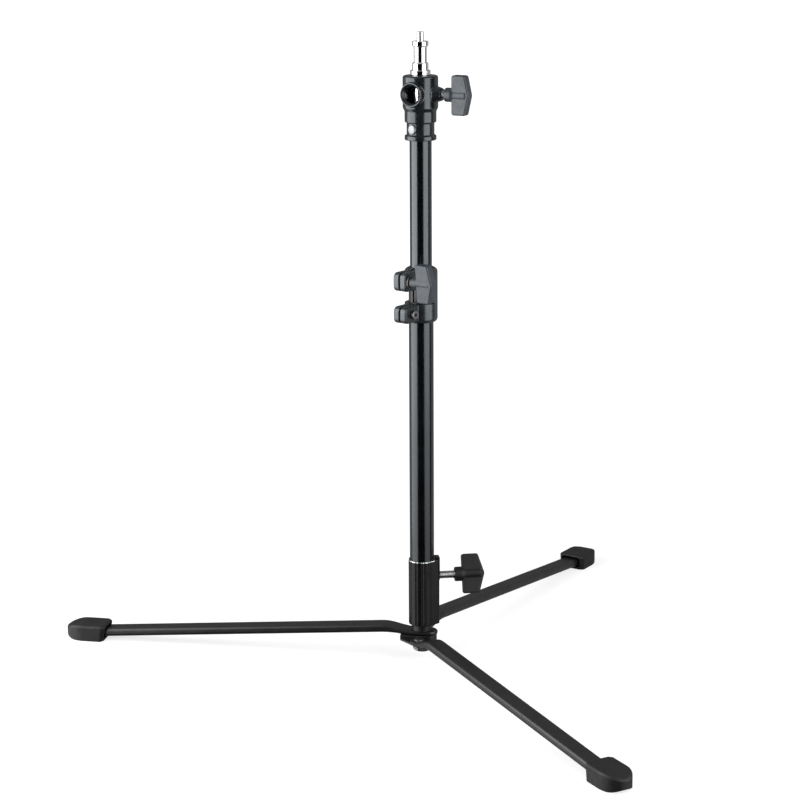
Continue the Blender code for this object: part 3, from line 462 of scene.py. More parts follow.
def new_effect(name, output, *inputs):
    """An empty node group with named sockets: the tree, its kit, its given values and its result."""
    tree = bpy.data.node_groups.new(name, "ShaderNodeTree")
    for socket, kind, value in (("Place", VECTOR, None), *inputs):
        made = tree.interface.new_socket(socket, in_out="INPUT", socket_type=kind)
        if value is not None:
            made.default_value = value
    tree.interface.new_socket(output, in_out="OUTPUT", socket_type=FLOAT)
    kit = Nodes(tree)
    return tree, kit, kit.add("NodeGroupInput").outputs, kit.add("NodeGroupOutput").inputs[0]


# %% Grain, mottle, edge wear with the sleeve's painted edge highlight, and lathe lines
grain_tree, kit, given, result = new_effect("grain", "Height", ("Per Metre", FLOAT, 900.0),
                                            ("Pits", FLOAT, 0.3))
cells = kit.noise(given["Place"], given["Per Metre"], 2.0, 0.55)
pit = kit.add("ShaderNodeTexVoronoi", feature="SMOOTH_F1")
depth = kit.math("MULTIPLY", kit.fill(pit, Vector=given["Place"], Scale=given["Per Metre"]), given["Pits"])
kit.link(kit.math("ADD", cells, depth), result)

mottle_tree, kit, given, result = new_effect("mottle", "Value", ("Per Metre", FLOAT, 60.0),
                                             ("Low", FLOAT, 0.3), ("High", FLOAT, 0.5))
cloud = kit.noise(given["Place"], given["Per Metre"], 4.0, 0.6)
kit.link(kit.between(cloud, 0.3, 0.7, given["Low"], given["High"]), result)

# The edge mask lightens convex edges: rubbing on most skins, and on the sleeve also a painted highlight.
edge_wear_and_highlight_tree, kit, given, result = new_effect("wear", "Mask", ("Bend", FLOAT, 0.0), ("From", FLOAT, 0.2),
                                           ("To", FLOAT, 0.9))
patch = kit.between(kit.noise(given["Place"], 420.0, 4.0, 0.65), 0.35, 0.68, 0.15, 1.2)
spread = kit.math("MULTIPLY", given["Bend"], patch)
kit.link(kit.between(spread, given["From"], given["To"]), result)

lathe_tree, kit, given, result = new_effect("lathe lines", "Height", ("Across", VECTOR, (1, 1, 1)),
                                            ("Per Metre", FLOAT, 2500.0))
stretched = kit.vector("MULTIPLY", given["Place"], given["Across"])
kit.link(kit.noise(stretched, given["Per Metre"], 2.0, 0.7), result)
print("effects:", [tree.name for tree in bpy.data.node_groups])

# %% [markdown]
# ## The finishes
# Each finish is one material. Black pieces are told apart by their gloss and their skin: powder coat
# on the legs has a soft orange peel, the tubes are anodised and almost smooth, the castings have a
# glossy paint, the knobs are grained nylon, and the feet are matt rubber. Where an edge is rubbed, the
# colour lightens and the gloss rises; on the sleeve's rib edges this lighter colour is also a painted
# highlight. The bare metals get slow stains and fine lathe lines.

# %% One recipe for black skins, one for metals
SKIN_BUMP, LATHE_BUMP, WORN_POLISH = 0.6, 0.5, 0.08
BARE_METAL = (0.62, 0.62, 0.63, 1.0)
NO_TINT, BLUE_SHEEN = (1.0, 1.0, 1.0, 1.0), (0.88, 0.95, 1.0, 1.0)


def new_finish(name):
    mat = bpy.data.materials.new(name)
    kit = empty_tree(mat)
    shader = kit.add("ShaderNodeBsdfPrincipled")
    kit.link(shader.outputs[0], kit.add("ShaderNodeOutputMaterial").inputs["Surface"])
    return mat, kit, shader, kit.add("ShaderNodeTexCoord").outputs["Object"]


def bumped(kit, shader, height, strength, depth):
    bump = kit.add("ShaderNodeBump")
    kit.fill(bump, Strength=strength, Distance=depth / MM_PER_M, Height=height)
    kit.link(bump.outputs[0], shader.inputs["Normal"])


def black_skin(name, dark, light, edge_wear_and_highlight, rough, ior, grain, depth, wear=(0.25, 1.1), pits=0.3, mottle=70.0,
               tint=NO_TINT, bare=None):
    """dark and light are the skin's two tones, the next colour that of rubbed edges, which on the sleeve is
    also a painted highlight along its ribs, rough its two gloss values, grain its cells per metre, depth
    their depth in millimetres, wear the bends where that edge colour begins and is full, and bare tells
    where the metal shows."""
    mat, kit, shader, place = new_finish(name)
    shader.inputs["IOR"].default_value = ior
    shader.inputs["Specular Tint"].default_value = tint
    bend = kit.add("ShaderNodeAttribute", attribute_name="bend").outputs["Fac"]
    mask = kit.effect(edge_wear_and_highlight_tree, Place=place, Bend=bend, From=wear[0], To=wear[1])
    tone = kit.effect(mottle_tree, Place=place, Per_Metre=mottle, Low=0.0, High=1.0)
    body = kit.blend(tone, (*dark, 1.0), (*light, 1.0))
    # Convex edges take the edge colour: rubbed paint, and on the sleeve also a painted highlight.
    colour = kit.blend(mask, body, (*edge_wear_and_highlight, 1.0))
    if bare:
        metal_mask = bare(kit, place)
        colour = kit.blend(metal_mask, colour, BARE_METAL)
        kit.link(metal_mask, shader.inputs["Metallic"])
    kit.link(colour, shader.inputs["Base Color"])
    gloss = kit.effect(mottle_tree, Place=place, Per_Metre=mottle * 2.3, Low=rough[0], High=rough[1])
    polish = kit.math("MULTIPLY", mask, WORN_POLISH)
    kit.link(kit.math("SUBTRACT", gloss, polish), shader.inputs["Roughness"])
    height = kit.effect(grain_tree, Place=place, Per_Metre=grain, Pits=pits)
    bumped(kit, shader, height, SKIN_BUMP, depth)
    return mat


def metal(name, colour, stain, rough, lines, depth):
    """Bare metal: colour with slow stains, two gloss values and lathe lines per metre."""
    mat, kit, shader, place = new_finish(name)
    shader.inputs["Metallic"].default_value = 1.0
    tone = kit.effect(mottle_tree, Place=place, Per_Metre=110.0, Low=0.0, High=1.0)
    kit.link(kit.blend(tone, (*colour, 1.0), (*stain, 1.0)), shader.inputs["Base Color"])
    gloss = kit.effect(mottle_tree, Place=place, Per_Metre=240.0, Low=rough[0], High=rough[1])
    kit.link(gloss, shader.inputs["Roughness"])
    height = kit.effect(lathe_tree, Place=place, Across=(0.05, 0.05, 1.0), Per_Metre=lines)
    bumped(kit, shader, height, LATHE_BUMP, depth)
    return mat


# %% The stand's finishes
SLEEVE_Z, SLEEVE_TOP, SLEEVE_R = 39.2, 109.2, 14.0
RIM_BAND, RIM_RADIUS = 1.1, SLEEVE_R + 0.6


def bare_rim(kit, place):
    """Where the sleeve's mouth is cut to bare metal: within the band of the rim's height, but not on
    the keel."""
    rim_centre = (AXIS[0], AXIS[1], SLEEVE_TOP / MM_PER_M)
    apart = kit.add("ShaderNodeSeparateXYZ")
    kit.link(kit.vector("SUBTRACT", place, rim_centre), apart.inputs[0])
    squares = [kit.math("MULTIPLY", apart.outputs[name], apart.outputs[name]) for name in ("X", "Y")]
    radius = kit.math("SQRT", kit.math("ADD", *squares))
    near = kit.math("LESS_THAN", kit.math("ABSOLUTE", apart.outputs["Z"]), RIM_BAND / MM_PER_M)
    return kit.math("MULTIPLY", near, kit.math("LESS_THAN", radius, RIM_RADIUS / MM_PER_M))


powder_coat = black_skin("powder_coat", (0.007, 0.007, 0.0075), (0.011, 0.011, 0.0115),
                         (0.040, 0.040, 0.041), (0.30, 0.40), 1.5, 800.0, 0.05)
# On the sleeve the lighter edge colour is partly rubbed paint and partly a painted highlight along the ribs'
# edges.
sleeve_coat = black_skin("sleeve_coat", (0.003, 0.003, 0.0032), (0.006, 0.006, 0.0063), (0.04, 0.04, 0.04),
                         (0.16, 0.22), 1.34, 1100.0, 0.008, wear=(0.35, 1.4), bare=bare_rim)
anodised = black_skin("anodised", (0.0012, 0.0014, 0.0017), (0.0026, 0.0029, 0.0033), (0.08, 0.09, 0.10),
                      (0.15, 0.22), 1.7, 3000.0, 0.003, wear=(0.6, 1.8), mottle=25.0, tint=BLUE_SHEEN)
casting_paint = black_skin("casting_paint", (0.005, 0.006, 0.007), (0.009, 0.011, 0.013),
                           (0.07, 0.08, 0.09), (0.17, 0.25), 1.65, 900.0, 0.007, wear=(0.3, 1.2),
                           tint=BLUE_SHEEN)
collar_paint = black_skin("collar_paint", (0.011, 0.013, 0.015), (0.019, 0.022, 0.025), (0.09, 0.10, 0.11),
                          (0.18, 0.26), 1.7, 900.0, 0.008, wear=(0.3, 1.2), tint=BLUE_SHEEN)
grained_nylon = black_skin("grained_nylon", (0.022, 0.030, 0.040), (0.034, 0.044, 0.056),
                           (0.08, 0.095, 0.11), (0.36, 0.48), 1.58, 1600.0, 0.04, wear=(0.2, 1.2), pits=0.6)
dark_nylon = black_skin("dark_nylon", (0.004, 0.004, 0.0045), (0.008, 0.008, 0.0085),
                        (0.035, 0.035, 0.035), (0.42, 0.54), 1.42, 1600.0, 0.05, wear=(0.2, 1.2), pits=0.6)
rubber = black_skin("rubber", (0.006, 0.006, 0.006), (0.010, 0.010, 0.010), (0.030, 0.030, 0.030),
                    (0.46, 0.60), 1.45, 1400.0, 0.05, wear=(0.3, 1.2), pits=0.5)
liner_plastic = black_skin("liner_plastic", (0.006, 0.006, 0.0065), (0.010, 0.010, 0.0105),
                           (0.04, 0.04, 0.04), (0.34, 0.44), 1.5, 1500.0, 0.02)
dark_rivet = black_skin("dark_rivet", (0.012, 0.012, 0.012), (0.022, 0.022, 0.022), (0.12, 0.12, 0.12),
                        (0.28, 0.40), 1.6, 1500.0, 0.02, wear=(0.15, 0.7))
zinc = metal("zinc", (0.50, 0.51, 0.52), (0.38, 0.38, 0.39), (0.34, 0.46), 2200.0, 0.006)
steel = metal("steel", (0.40, 0.40, 0.41), (0.30, 0.30, 0.31), (0.26, 0.36), 3000.0, 0.005)
bright_zinc = metal("bright_zinc", (0.26, 0.265, 0.27), (0.19, 0.195, 0.20), (0.30, 0.38), 2500.0, 0.002)
chrome = metal("chrome", (0.86, 0.87, 0.88), (0.80, 0.81, 0.82), (0.07, 0.13), 2500.0, 0.0005)
brass = metal("brass", (0.62, 0.48, 0.22), (0.48, 0.36, 0.17), (0.30, 0.42), 2500.0, 0.01)
print("materials, with those of the CAD model:", len(bpy.data.materials))

# %% [markdown]
# ## The legs
# Each leg is one flat bar with rounded edges. Its heel is pressed to a thinner tongue, and from there
# the bar cranks up to its line, which falls slowly to the foot. The section is a rounded rectangle,
# carried along the leg. At the round heel every line of the section bends round its own circle: a line
# inset by d follows the circle of radius half - d, so the rim keeps its width all the way round.

# %% Sizes of the bars
BAR_HALF, BAR_THICK, BAR_ROUND = 9.3, 8.6, 2.8
LEG_REACH, LEG_OFFSET, PIVOT_ALONG = 376.0, 13.0, 15.5
BAR_TOP, BAR_FALL, BAR_REF = 34.1, math.tan(math.radians(4.58)), 80.0
LEFT_AZ, REAR_AZ, FRONT_AZ = 169.3, 57.3, -60.3
SIDE_LOW, SIDE_THICK, SIDE_CRANK = 23.3, 3.6, (18.0, 52.0)
FIXED_LOW, FIXED_THICK, FIXED_CRANK, FIXED_HEEL = 27.2, 5.0, (10.0, 44.0), -7.0
BOLT_HOLE, RIVET_HOLE = 5.3, 3.3


def bar_top(t):
    """Height of the bar's top face at distance t from the column: it falls in a straight line."""
    return BAR_TOP + BAR_FALL * (BAR_REF - t)


print("the bars fall", round(float(bar_top(BAR_REF) - bar_top(LEG_REACH)), 1), "mm to their feet")


# %% A leg as a section carried along its line
def bar_section(steps=5):
    """The section as (across from -1 to 1, inset, which face, share of the rounding's height)."""
    inset, drop = quarter_round(steps)
    flat = np.linspace(1.0, -1.0, 7)[1:-1]
    side = np.ones(steps + 1)
    zeros = np.zeros(5)
    top = np.column_stack([np.concatenate([side, flat, -side]),
                           np.concatenate([inset, zeros + 1, inset[::-1]]),
                           np.ones(2 * len(side) + 5),
                           np.concatenate([drop, zeros, drop[::-1]])])
    bottom = top[::-1] * np.array([1.0, 1.0, 0.0, 1.0])
    return np.vstack([top, bottom])


def leg_shape(heel, low, thick, crank):
    """Along the heel a point goes to heel - rho cos a and across by lambda rho sin a, with a from 0 to a
    quarter turn and rho the half width less the inset; then it runs straight. The faces' heights go
    from the tongue to the bar as 3s^2 - 2s^3 over the crank."""
    across, inset, upper, drop = bar_section().T
    turn = quarter_turn(12)
    straight = np.concatenate([np.linspace(heel + 0.4, crank[0], 4), np.linspace(*crank, 40)[1:],
                               np.linspace(crank[1], LEG_REACH, 24)[1:]])
    sine = np.concatenate([np.sin(turn), np.ones(len(straight))])[:, None]
    cosine = np.concatenate([np.cos(turn), np.zeros(len(straight))])[:, None]
    centre = np.concatenate([np.full(len(turn), heel), straight])[:, None]
    s = np.clip((centre - crank[0]) / (crank[1] - crank[0]), 0.0, 1.0)
    s = s * s * (3 - 2 * s)
    floor = low + s * (bar_top(centre) - BAR_THICK - low)
    roof = low + thick + s * (bar_top(centre) - low - thick)
    r = np.minimum(BAR_ROUND, (roof - floor) / 2 - 0.3)
    rho = BAR_HALF - r * inset
    wide = across * rho * sine
    z = np.where(upper > 0.5, roof - r * drop, floor + r * drop)
    points = np.stack([centre - rho * cosine + 0 * wide, wide, z + 0 * wide], axis=-1)
    return points.reshape(-1, 3), capped(*wide.shape, near_end=False)


def leg_piece(name, az, offset, shape, hole_along, hole_r, body):
    line = heading(az + 90.0) * offset
    bar = solid(name, shape, standing(az, line))
    hole_place = standing(az, line + heading(az) * hole_along)
    worked(bar, cut=[solid("hole", rod(hole_r, 10.0, 45.0, around=48), hole_place)])
    return fitted(shaded(bar), body, powder_coat, name)


side_shape = leg_shape(PIVOT_ALONG, SIDE_LOW, SIDE_THICK, SIDE_CRANK)
fixed_shape = leg_shape(FIXED_HEEL, FIXED_LOW, FIXED_THICK, FIXED_CRANK)
leg_piece("leg_left", LEFT_AZ, 0.0, fixed_shape, 0.0, BOLT_HOLE, "base")
leg_piece("leg_rear", REAR_AZ, LEG_OFFSET, side_shape, PIVOT_ALONG, RIVET_HOLE, "rear_leg")
leg_piece("leg_front", FRONT_AZ, -LEG_OFFSET, side_shape, PIVOT_ALONG, RIVET_HOLE, "front_leg")

# %% [markdown]
# ## The rubber feet
# A foot is a moulded cap: flat underneath, a round nose that droops a little, cut corners towards the
# leg and a soft top rim. The bar sits in a pocket that flares at its mouth.

# %% Feet
FOOT_HALF, FOOT_HEIGHT, FOOT_CUT, FOOT_CORNER = 15.6, 17.2, 4.0, 3.0
FOOT_OUTER, FOOT_INNER, FOOT_NOSE = 390.0, 343.5, 20.5
NOSE_RUN, NOSE_DROOP, SOLE_LIFT = 18.0, 0.24, 4.0
MOUTH_RUN, MOUTH_DRAW, SOLE_CUT = 12.0, 3.0, -2.2


def foot_outline():
    """Cut corners at the leg's end, and at the outer end half an ellipse, longer than it is wide."""
    a = np.linspace(-math.pi / 2, math.pi / 2, 33)
    nose = np.column_stack([FOOT_OUTER - FOOT_NOSE + FOOT_NOSE * np.cos(a), FOOT_HALF * np.sin(a)])
    corners = np.array([(FOOT_INNER, FOOT_CUT - FOOT_HALF), (FOOT_INNER + FOOT_CUT, -FOOT_HALF)])
    rounds = np.array([1, 1, 0, 0, 1, 1]) * FOOT_CORNER
    mouth = eased(np.vstack([corners, nose[:1], nose[-1:], corners[::-1] * (1, -1)]), rounds, 4)
    mouth = mouth[~np.isclose(mouth[:, 0], nose[0, 0])]
    return np.vstack([mouth[mouth[:, 1] < 0], nose, mouth[mouth[:, 1] > 0]])


def foot_block():
    """The outline as a plate, then bent: over the nose's last run, with s from 0 to 1, the height
    shrinks by 0.24 s^2 and the sole lifts by 4 mm times s^3. Near the mouth the sole draws back by
    3 mm, and the draw fades upwards and outwards. The plate begins below the floor and is flattened
    on it, so the sole has no rounded rim."""
    rows, faces = plate(foot_outline(), SOLE_CUT, FOOT_HEIGHT, rim=2.8, steps=7)
    along, wide, z = rows.T
    z = np.maximum(z, 0.0)
    up = z / FOOT_HEIGHT
    s = np.clip((along - (FOOT_OUTER - NOSE_RUN)) / NOSE_RUN, 0.0, 1.0)
    mouth = np.clip((FOOT_INNER + MOUTH_RUN - along) / MOUTH_RUN, 0.0, 1.0)
    z = z * (1 - NOSE_DROOP * s ** 2) + SOLE_LIFT * s ** 3 * (1 - up)
    return np.column_stack([along + MOUTH_DRAW * mouth * (1 - up) ** 2, wide, z]), faces


def foot_pocket():
    """The bar's own section, grown by 0.3 mm inside and by up to 2.4 mm at the mouth."""
    t = np.array([FOOT_INNER - 4.0, FOOT_INNER + 2.0, FOOT_INNER + 10.0, LEG_REACH + 0.3])[:, None]
    grow = np.array([2.4, 2.2, 0.6, 0.3])[:, None]
    across, inset, upper, drop = bar_section().T
    wide = (BAR_HALF + grow - BAR_ROUND * inset) * across
    top, low = bar_top(t) + grow, bar_top(t) - BAR_THICK - grow
    z = np.where(upper > 0.5, top - BAR_ROUND * drop, low + BAR_ROUND * drop)
    return np.stack([t + 0 * wide, wide, z], axis=-1).reshape(-1, 3), capped(*wide.shape)


def foot_piece(name, az, offset, body):
    place = standing(az, heading(az + 90.0) * offset)
    foot = solid(name, foot_block(), place)
    worked(foot, cut=[solid("pocket", foot_pocket(), place)])
    moulded(foot, 0.4, 3)
    return fitted(shaded(foot, 60), body, rubber, name)


foot_piece("foot_left", LEFT_AZ, 0.0, "base")
foot_piece("foot_rear", REAR_AZ, LEG_OFFSET, "rear_leg")
foot_piece("foot_front", FRONT_AZ, -LEG_OFFSET, "front_leg")

# %% [markdown]
# ## The hub
# Under the column a thin plate carries the two pivots, and a raised land carries the fixed leg. Its
# outline is what a taut band round a few discs would follow, so it is found as the farthest reach in
# every direction.

# %% Hub plate
PLATE_Z, PLATE_TOP, LAND_TOP = 21.0, 23.0, 26.9
LOBE_R, LAND_END, LAND_HALF, LAND_CORNER = 6.0, 22.2, 9.0, 1.2
rear_pivot = heading(REAR_AZ) * PIVOT_ALONG + heading(REAR_AZ + 90) * LEG_OFFSET
front_pivot = heading(FRONT_AZ) * PIVOT_ALONG - heading(FRONT_AZ + 90) * LEG_OFFSET


def band_round(discs, count=240):
    """Outline of the taut band: in direction u the band touches the disc whose centre dotted with u,
    plus its radius, is largest. The touching point is that centre plus the radius times u."""
    u = rays(circle(count))
    discs = np.asarray(discs)
    best = np.argmax(discs[:, :2] @ u.T + discs[:, 2:3], axis=0)
    return discs[best, :2] + discs[best, 2:3] * u


def drill(point, radius):
    return solid("drill", rod(radius, 17.0, 31.0), standing(0, point))


land = [(0.0, 0.0, BAR_HALF), (6.0, 0.0, BAR_HALF)]
for sign in (1, -1):
    corner = (heading(LEFT_AZ) * (LAND_END - LAND_CORNER)
              + heading(LEFT_AZ + 90) * (LAND_HALF - LAND_CORNER) * sign)
    land.append((corner[0], corner[1], LAND_CORNER))
lobes = [(pivot[0], pivot[1], LOBE_R) for pivot in (rear_pivot, front_pivot)]
hub = solid("hub_plate", plate(band_round(land + lobes), PLATE_Z, PLATE_TOP, rim=0.4, steps=3))
raised = solid("land", plate(band_round(land), PLATE_Z + 1.0, LAND_TOP, rim=0.4, steps=3))
worked(hub, joined=[raised], cut=[drill(rear_pivot, RIVET_HOLE), drill(front_pivot, RIVET_HOLE),
                                  drill((0, 0, 0), BOLT_HOLE)])
fitted(shaded(hub), "base", powder_coat, "hub_plate")

# %% [markdown]
# ## Rivets, washers and the centre bolt
# The pivots are rivets with a domed head above and a flatter one below. The centre bolt comes from
# below with a spring washer and a flat washer. The spring washer is split, and its two ends stand a
# little apart. The bolt's head is a hexagon whose corners are cut by a cone, as on every rolled bolt.


# %% Leg rivets
def dome(radius, low, rise):
    """Half an ellipse from the rim to the top, as (radius cos a, low + rise sin a)."""
    arc = [(radius * math.cos(a), low + rise * math.sin(a)) for a in quarter_turn(8)[:-1]]
    return arc + [(0, low + rise)]


RIVET_HEAD_R = 5.0
rivet_low, rivet_high = PLATE_Z - 0.3, LAND_TOP + 0.3
rivet_line = [(0, rivet_low - 1.8), (4.1, rivet_low - 1.8), (RIVET_HEAD_R, rivet_low - 0.9),
              (RIVET_HEAD_R, rivet_low), (3.0, rivet_low), (3.0, rivet_high)]
rivet_line += dome(RIVET_HEAD_R, rivet_high, 2.2)
rivet_rims = [0, 0.4, 0.4, 0.2] + [0] * (len(rivet_line) - 4)
for name, pivot in (("leg_rivet_rear", rear_pivot), ("leg_rivet_front", front_pivot)):
    piece(name, turned(rivet_line, rivet_rims, around=48), standing(0, pivot), "base", dark_rivet)


# %% Washers
def arc_swept(section, start, end, count, climb=0.0):
    """Carries a section (r, z) round the axis from angle start to angle end. Its height climbs evenly
    from -climb to +climb, and both ends are closed."""
    a = np.linspace(start, end, count)
    z = section[:, 1][None] + climb * np.linspace(-1, 1, count)[:, None]
    points = np.stack([np.outer(np.cos(a), section[:, 0]), np.outer(np.sin(a), section[:, 0]), z], axis=-1)
    return points.reshape(-1, 3), capped(count, len(section))


WIRE_SPLIT, WIRE_RISE = math.radians(4.0), 0.12
wire = eased(rectangle(BOLT_HOLE, 8.6, 16.6 + WIRE_RISE, 18.6 - WIRE_RISE), 0.2, 3)
piece("hub_washer", tube(BOLT_HOLE, 9.8, 18.9, 20.7, 0.3), UPRIGHT, "base", zinc)
piece("hub_spring_washer", arc_swept(wire, WIRE_SPLIT, 2 * math.pi - WIRE_SPLIT, 90, WIRE_RISE),
      standing(-60), "base", zinc)

# %% Centre bolt and the plug that takes it
HEX_DEPTHS = np.array([0.0, 0.15, 0.3, 0.5, 0.8, 1.2, 1.7])
BOLT_FLATS, BOLT_R, BOLT_HEAD = 17.0, 5.0, 6.4


def hex_rows(flats, depths, around=96):
    """A hexagon whose corners are cut by a cone: at angle a it reaches flats / 2 / cos(angle from the
    middle of the nearest side), but no farther than flats / 2 - 0.3 mm + 1.7 times the depth."""
    side = flats / 2 / np.cos(circle(around) % (math.pi / 3) - math.pi / 6)
    return np.minimum(side[None], (flats / 2 - 0.3 + 1.7 * np.asarray(depths))[:, None])


bolt_low, bolt_tip = cad_heights("hub_bolt")
bolt_top = bolt_low + BOLT_HEAD
bolt_r = np.vstack([round_rows([0.0]), hex_rows(BOLT_FLATS, HEX_DEPTHS), hex_rows(BOLT_FLATS, [6.2]),
                    round_rows([BOLT_R, BOLT_R, BOLT_R - 0.6, 0.0])])
bolt_z = np.concatenate([[bolt_low], bolt_low + HEX_DEPTHS,
                         [bolt_top, bolt_top, bolt_tip - 0.6, bolt_tip, bolt_tip]])
piece("hub_bolt", rowed(bolt_r, bolt_z, False), UPRIGHT, "base", zinc)
plug_line = [(BOLT_HOLE, 32.5), (11.0, 32.5), (11.0, SLEEVE_Z), (12.5, 39.8), (12.5, 60.6), (11.9, 61.2),
             (0, 61.2), (0, 58.2), (BOLT_HOLE, 58.2)]
piece("sleeve_plug", turned(plug_line, 0.2, ring=True), UPRIGHT, "base", liner_plastic)

# %% [markdown]
# ## The base sleeve
# The sleeve is an extrusion with flat ribs and shallow grooves, and a keel that takes the clamping
# screw. Its outline is drawn once and carried upwards, rounding over at the rim, where the tube's
# mouth is cut to bare metal.

# %% Sleeve
BASE_SCREW_Z, KEEL_AZ, RIBS, RIB_PITCH, RIB_HALF, GROOVE_DEPTH = 90.7, 8.0, 8, 28.4, 2.1, 0.7
M8_HOLE, M8_R, M8_PITCH = 4.3, 4.0, 1.25


def sleeve_outline():
    """Corner points of ribs at an even pitch round the back, and of the keel, with their roundings."""
    groove = SLEEVE_R - GROOVE_DEPTH
    half = math.degrees(RIB_HALF / SLEEVE_R)
    middles = 180 + RIB_PITCH * (np.arange(RIBS) - (RIBS - 1) / 2)
    offsets = np.array([-half - 3.6, -half, -half / 3, half / 3, half, half + 3.6])
    a = np.radians(middles[:, None] + offsets[None]).ravel()
    r = np.tile([groove, SLEEVE_R, SLEEVE_R, SLEEVE_R, SLEEVE_R, groove], RIBS)
    start = groove * rays(np.radians([52.0, 55.6]))
    keel = np.array([(16.0, -6.2), (17.6, -4.6), (17.6, 4.6), (16.0, 6.2)])
    outline = np.vstack([keel, start, r[:, None] * rays(a), start[::-1] * (1, -1)])
    rims = [1.2] * 4 + [1.0, 0.0] + [0.4, 0.3, 0.0, 0.0, 0.3, 0.4] * RIBS + [0.0, 1.0]
    return eased(outline, rims, 3)


def sleeve_shape(rim=0.7, bore=12.8, mouth=0.9):
    """Rows up the outside, drawn in by rim (1 - cos t) at both ends, then rows down the bore: one
    closed tube whose wall is the outline outside and a circle inside, with a chamfered mouth."""
    outline = sleeve_outline()
    a = np.arctan2(outline[:, 1], outline[:, 0])
    reach = np.linalg.norm(outline, axis=1)
    draw, rise = (rim * share for share in quarter_round(5))
    inside = np.array([(mouth + 0.1, SLEEVE_TOP), (mouth, SLEEVE_TOP),
                       (mouth * 0.9, SLEEVE_TOP - mouth * 0.1), (mouth * 0.1, SLEEVE_TOP - mouth * 0.9),
                       (0.0, SLEEVE_TOP - mouth), (0.0, SLEEVE_TOP - mouth - 0.4), (0.0, SLEEVE_Z + 0.6),
                       (0.0, SLEEVE_Z + 0.2), (0.2, SLEEVE_Z)])
    outside = np.concatenate([-draw[::-1], [0.0, 0.0], -draw])
    r = np.vstack([reach[None] + outside[:, None], np.repeat(bore + inside[:, :1], len(a), axis=1)])
    z = np.concatenate([SLEEVE_Z + rise[::-1], [SLEEVE_Z + 2.0, SLEEVE_TOP - 2.0], SLEEVE_TOP - rise,
                        inside[:, 1]])
    return rowed(r, z, True, a)


LUG_FACE, LUG_HALF = 18.2, 5.2
sleeve = solid("base_sleeve", sleeve_shape(), standing(KEEL_AZ))
lug_outline = eased(rectangle(13.1, LUG_FACE, -LUG_HALF, LUG_HALF), (0.2, 1.4, 1.4, 0.2), 4)
lug = solid("lug", plate(lug_outline, 86.2, 111.2, rim=0.9, steps=4), standing(KEEL_AZ))
base_place = lying(KEEL_AZ, (0, 0, BASE_SCREW_Z))
worked(sleeve, joined=[lug], cut=[solid("hole", rod(M8_HOLE, 8.5, 22.2), base_place)])
fitted(shaded(sleeve, 40), "base", sleeve_coat, "base_sleeve")

# %% [markdown]
# ## The T-knobs
# A knob is a moulded nylon piece: two flat wings with a shallow V outside, a round hub towards the
# screw, and a ridge along the screw's axis. The wings are a plate, the hub and ridge are turned, and
# the moulded skin gives the fillets between them. Each knob sits on a threaded stud, whose groove is
# a wave in the radius that climbs by the pitch in one turn.

# %% Knob, stud and pad
WING_START, WING_HALF, WING_ROOT = 7.8, 4.75, 11.1


def knob_outline(span, tip_depth, mid_depth):
    """(across, along) corners of the wings, with the roundings of the mould."""
    half = [(WING_ROOT, WING_START), (span, WING_START), (span, WING_START + tip_depth),
            (0.0, WING_START + mid_depth)]
    return eased(half + [(-v, u) for v, u in half[2::-1]], (0.4, 2.4, 2.6, 6.0, 2.6, 2.4, 0.4), 6)


def knob_piece(name, place, start, size, hub_r, body, finish):
    """size is the wings' half span and their depths at the tips and in the middle; the hub begins at
    start on the screw's axis."""
    axes, origin = place
    place = (axes, origin + axes[:, 2] * start)
    knob = solid(name, on_edge(plate(knob_outline(*size), -WING_HALF, WING_HALF, rim=1.6)), place)
    nose = WING_START + size[2] - 3.2
    ridge_r = max(hub_r - 1.2, 5.2)
    hub_line = [(0, 0), (hub_r, 0), (hub_r, 7.0), (ridge_r, 10.0), (ridge_r, nose), (0, nose)]
    core = solid("core", turned(hub_line, [0, 0.9, 0.8, 1.2, 1.6, 0]), place)
    worked(knob, joined=[core], cut=[solid("bore", rod(M8_HOLE, -4.0, 10.3), place)])
    moulded(knob, 0.3, 4)
    return fitted(shaded(knob, 60), body, finish, name)


def threaded(stations, radii, pitch, depth=0.35, around=48):
    """A screw: at height z and angle a the distance from the axis is the radius at z, less
    depth (1 - cos(2 pi z / pitch - a)) / 2, and less a chamfer of 0.5 mm at both ends."""
    low, high = stations[0], stations[-1]
    z = np.linspace(low, high, int(round((high - low) / pitch * 8)) + 1)
    end = np.clip(0.5 - np.minimum(z - low, high - z), 0.0, None)
    groove = depth * (1 - np.cos(2 * math.pi * z[:, None] / pitch - circle(around)[None])) / 2
    r = np.interp(z, stations, radii)[:, None] - groove - end[:, None]
    tip = np.zeros((1, around))
    return rowed(np.vstack([tip, r, tip]), np.concatenate([[low], z, [high]]), False)


def stud_piece(name, place, stations, radii, pitch, body):
    return piece(name, threaded(stations, radii, pitch), place, body, steel, 75)


def pad_piece(name, place, low, body):
    return piece(name, rod(3.6, low, low + 2.2, 0.5), place, body, brass)


STUD_IN_KNOB = 10.0
LARGE_KNOB, SMALL_KNOB = (20.6, 17.0, 23.4), (19.6, 15.0, 19.5)
base_start = LUG_FACE + 16.0
knob_piece("base_knob", lying(KEEL_AZ, (0, 0, BASE_SCREW_Z), -20.0), base_start, LARGE_KNOB, 7.6,
           "base_screw", dark_nylon)
stud_piece("base_knob_stud", base_place, [15.3, base_start + STUD_IN_KNOB], [M8_R, M8_R], M8_PITCH,
           "base_screw")
pad_piece("base_knob_pad", base_place, 12.8, "base_screw_pad")

# %% [markdown]
# ## The tubes
# Both tubes are drawn aluminium, anodised black, with a slightly rounded rim. A plastic plug closes
# the upper tube's foot, inside the lower tube.

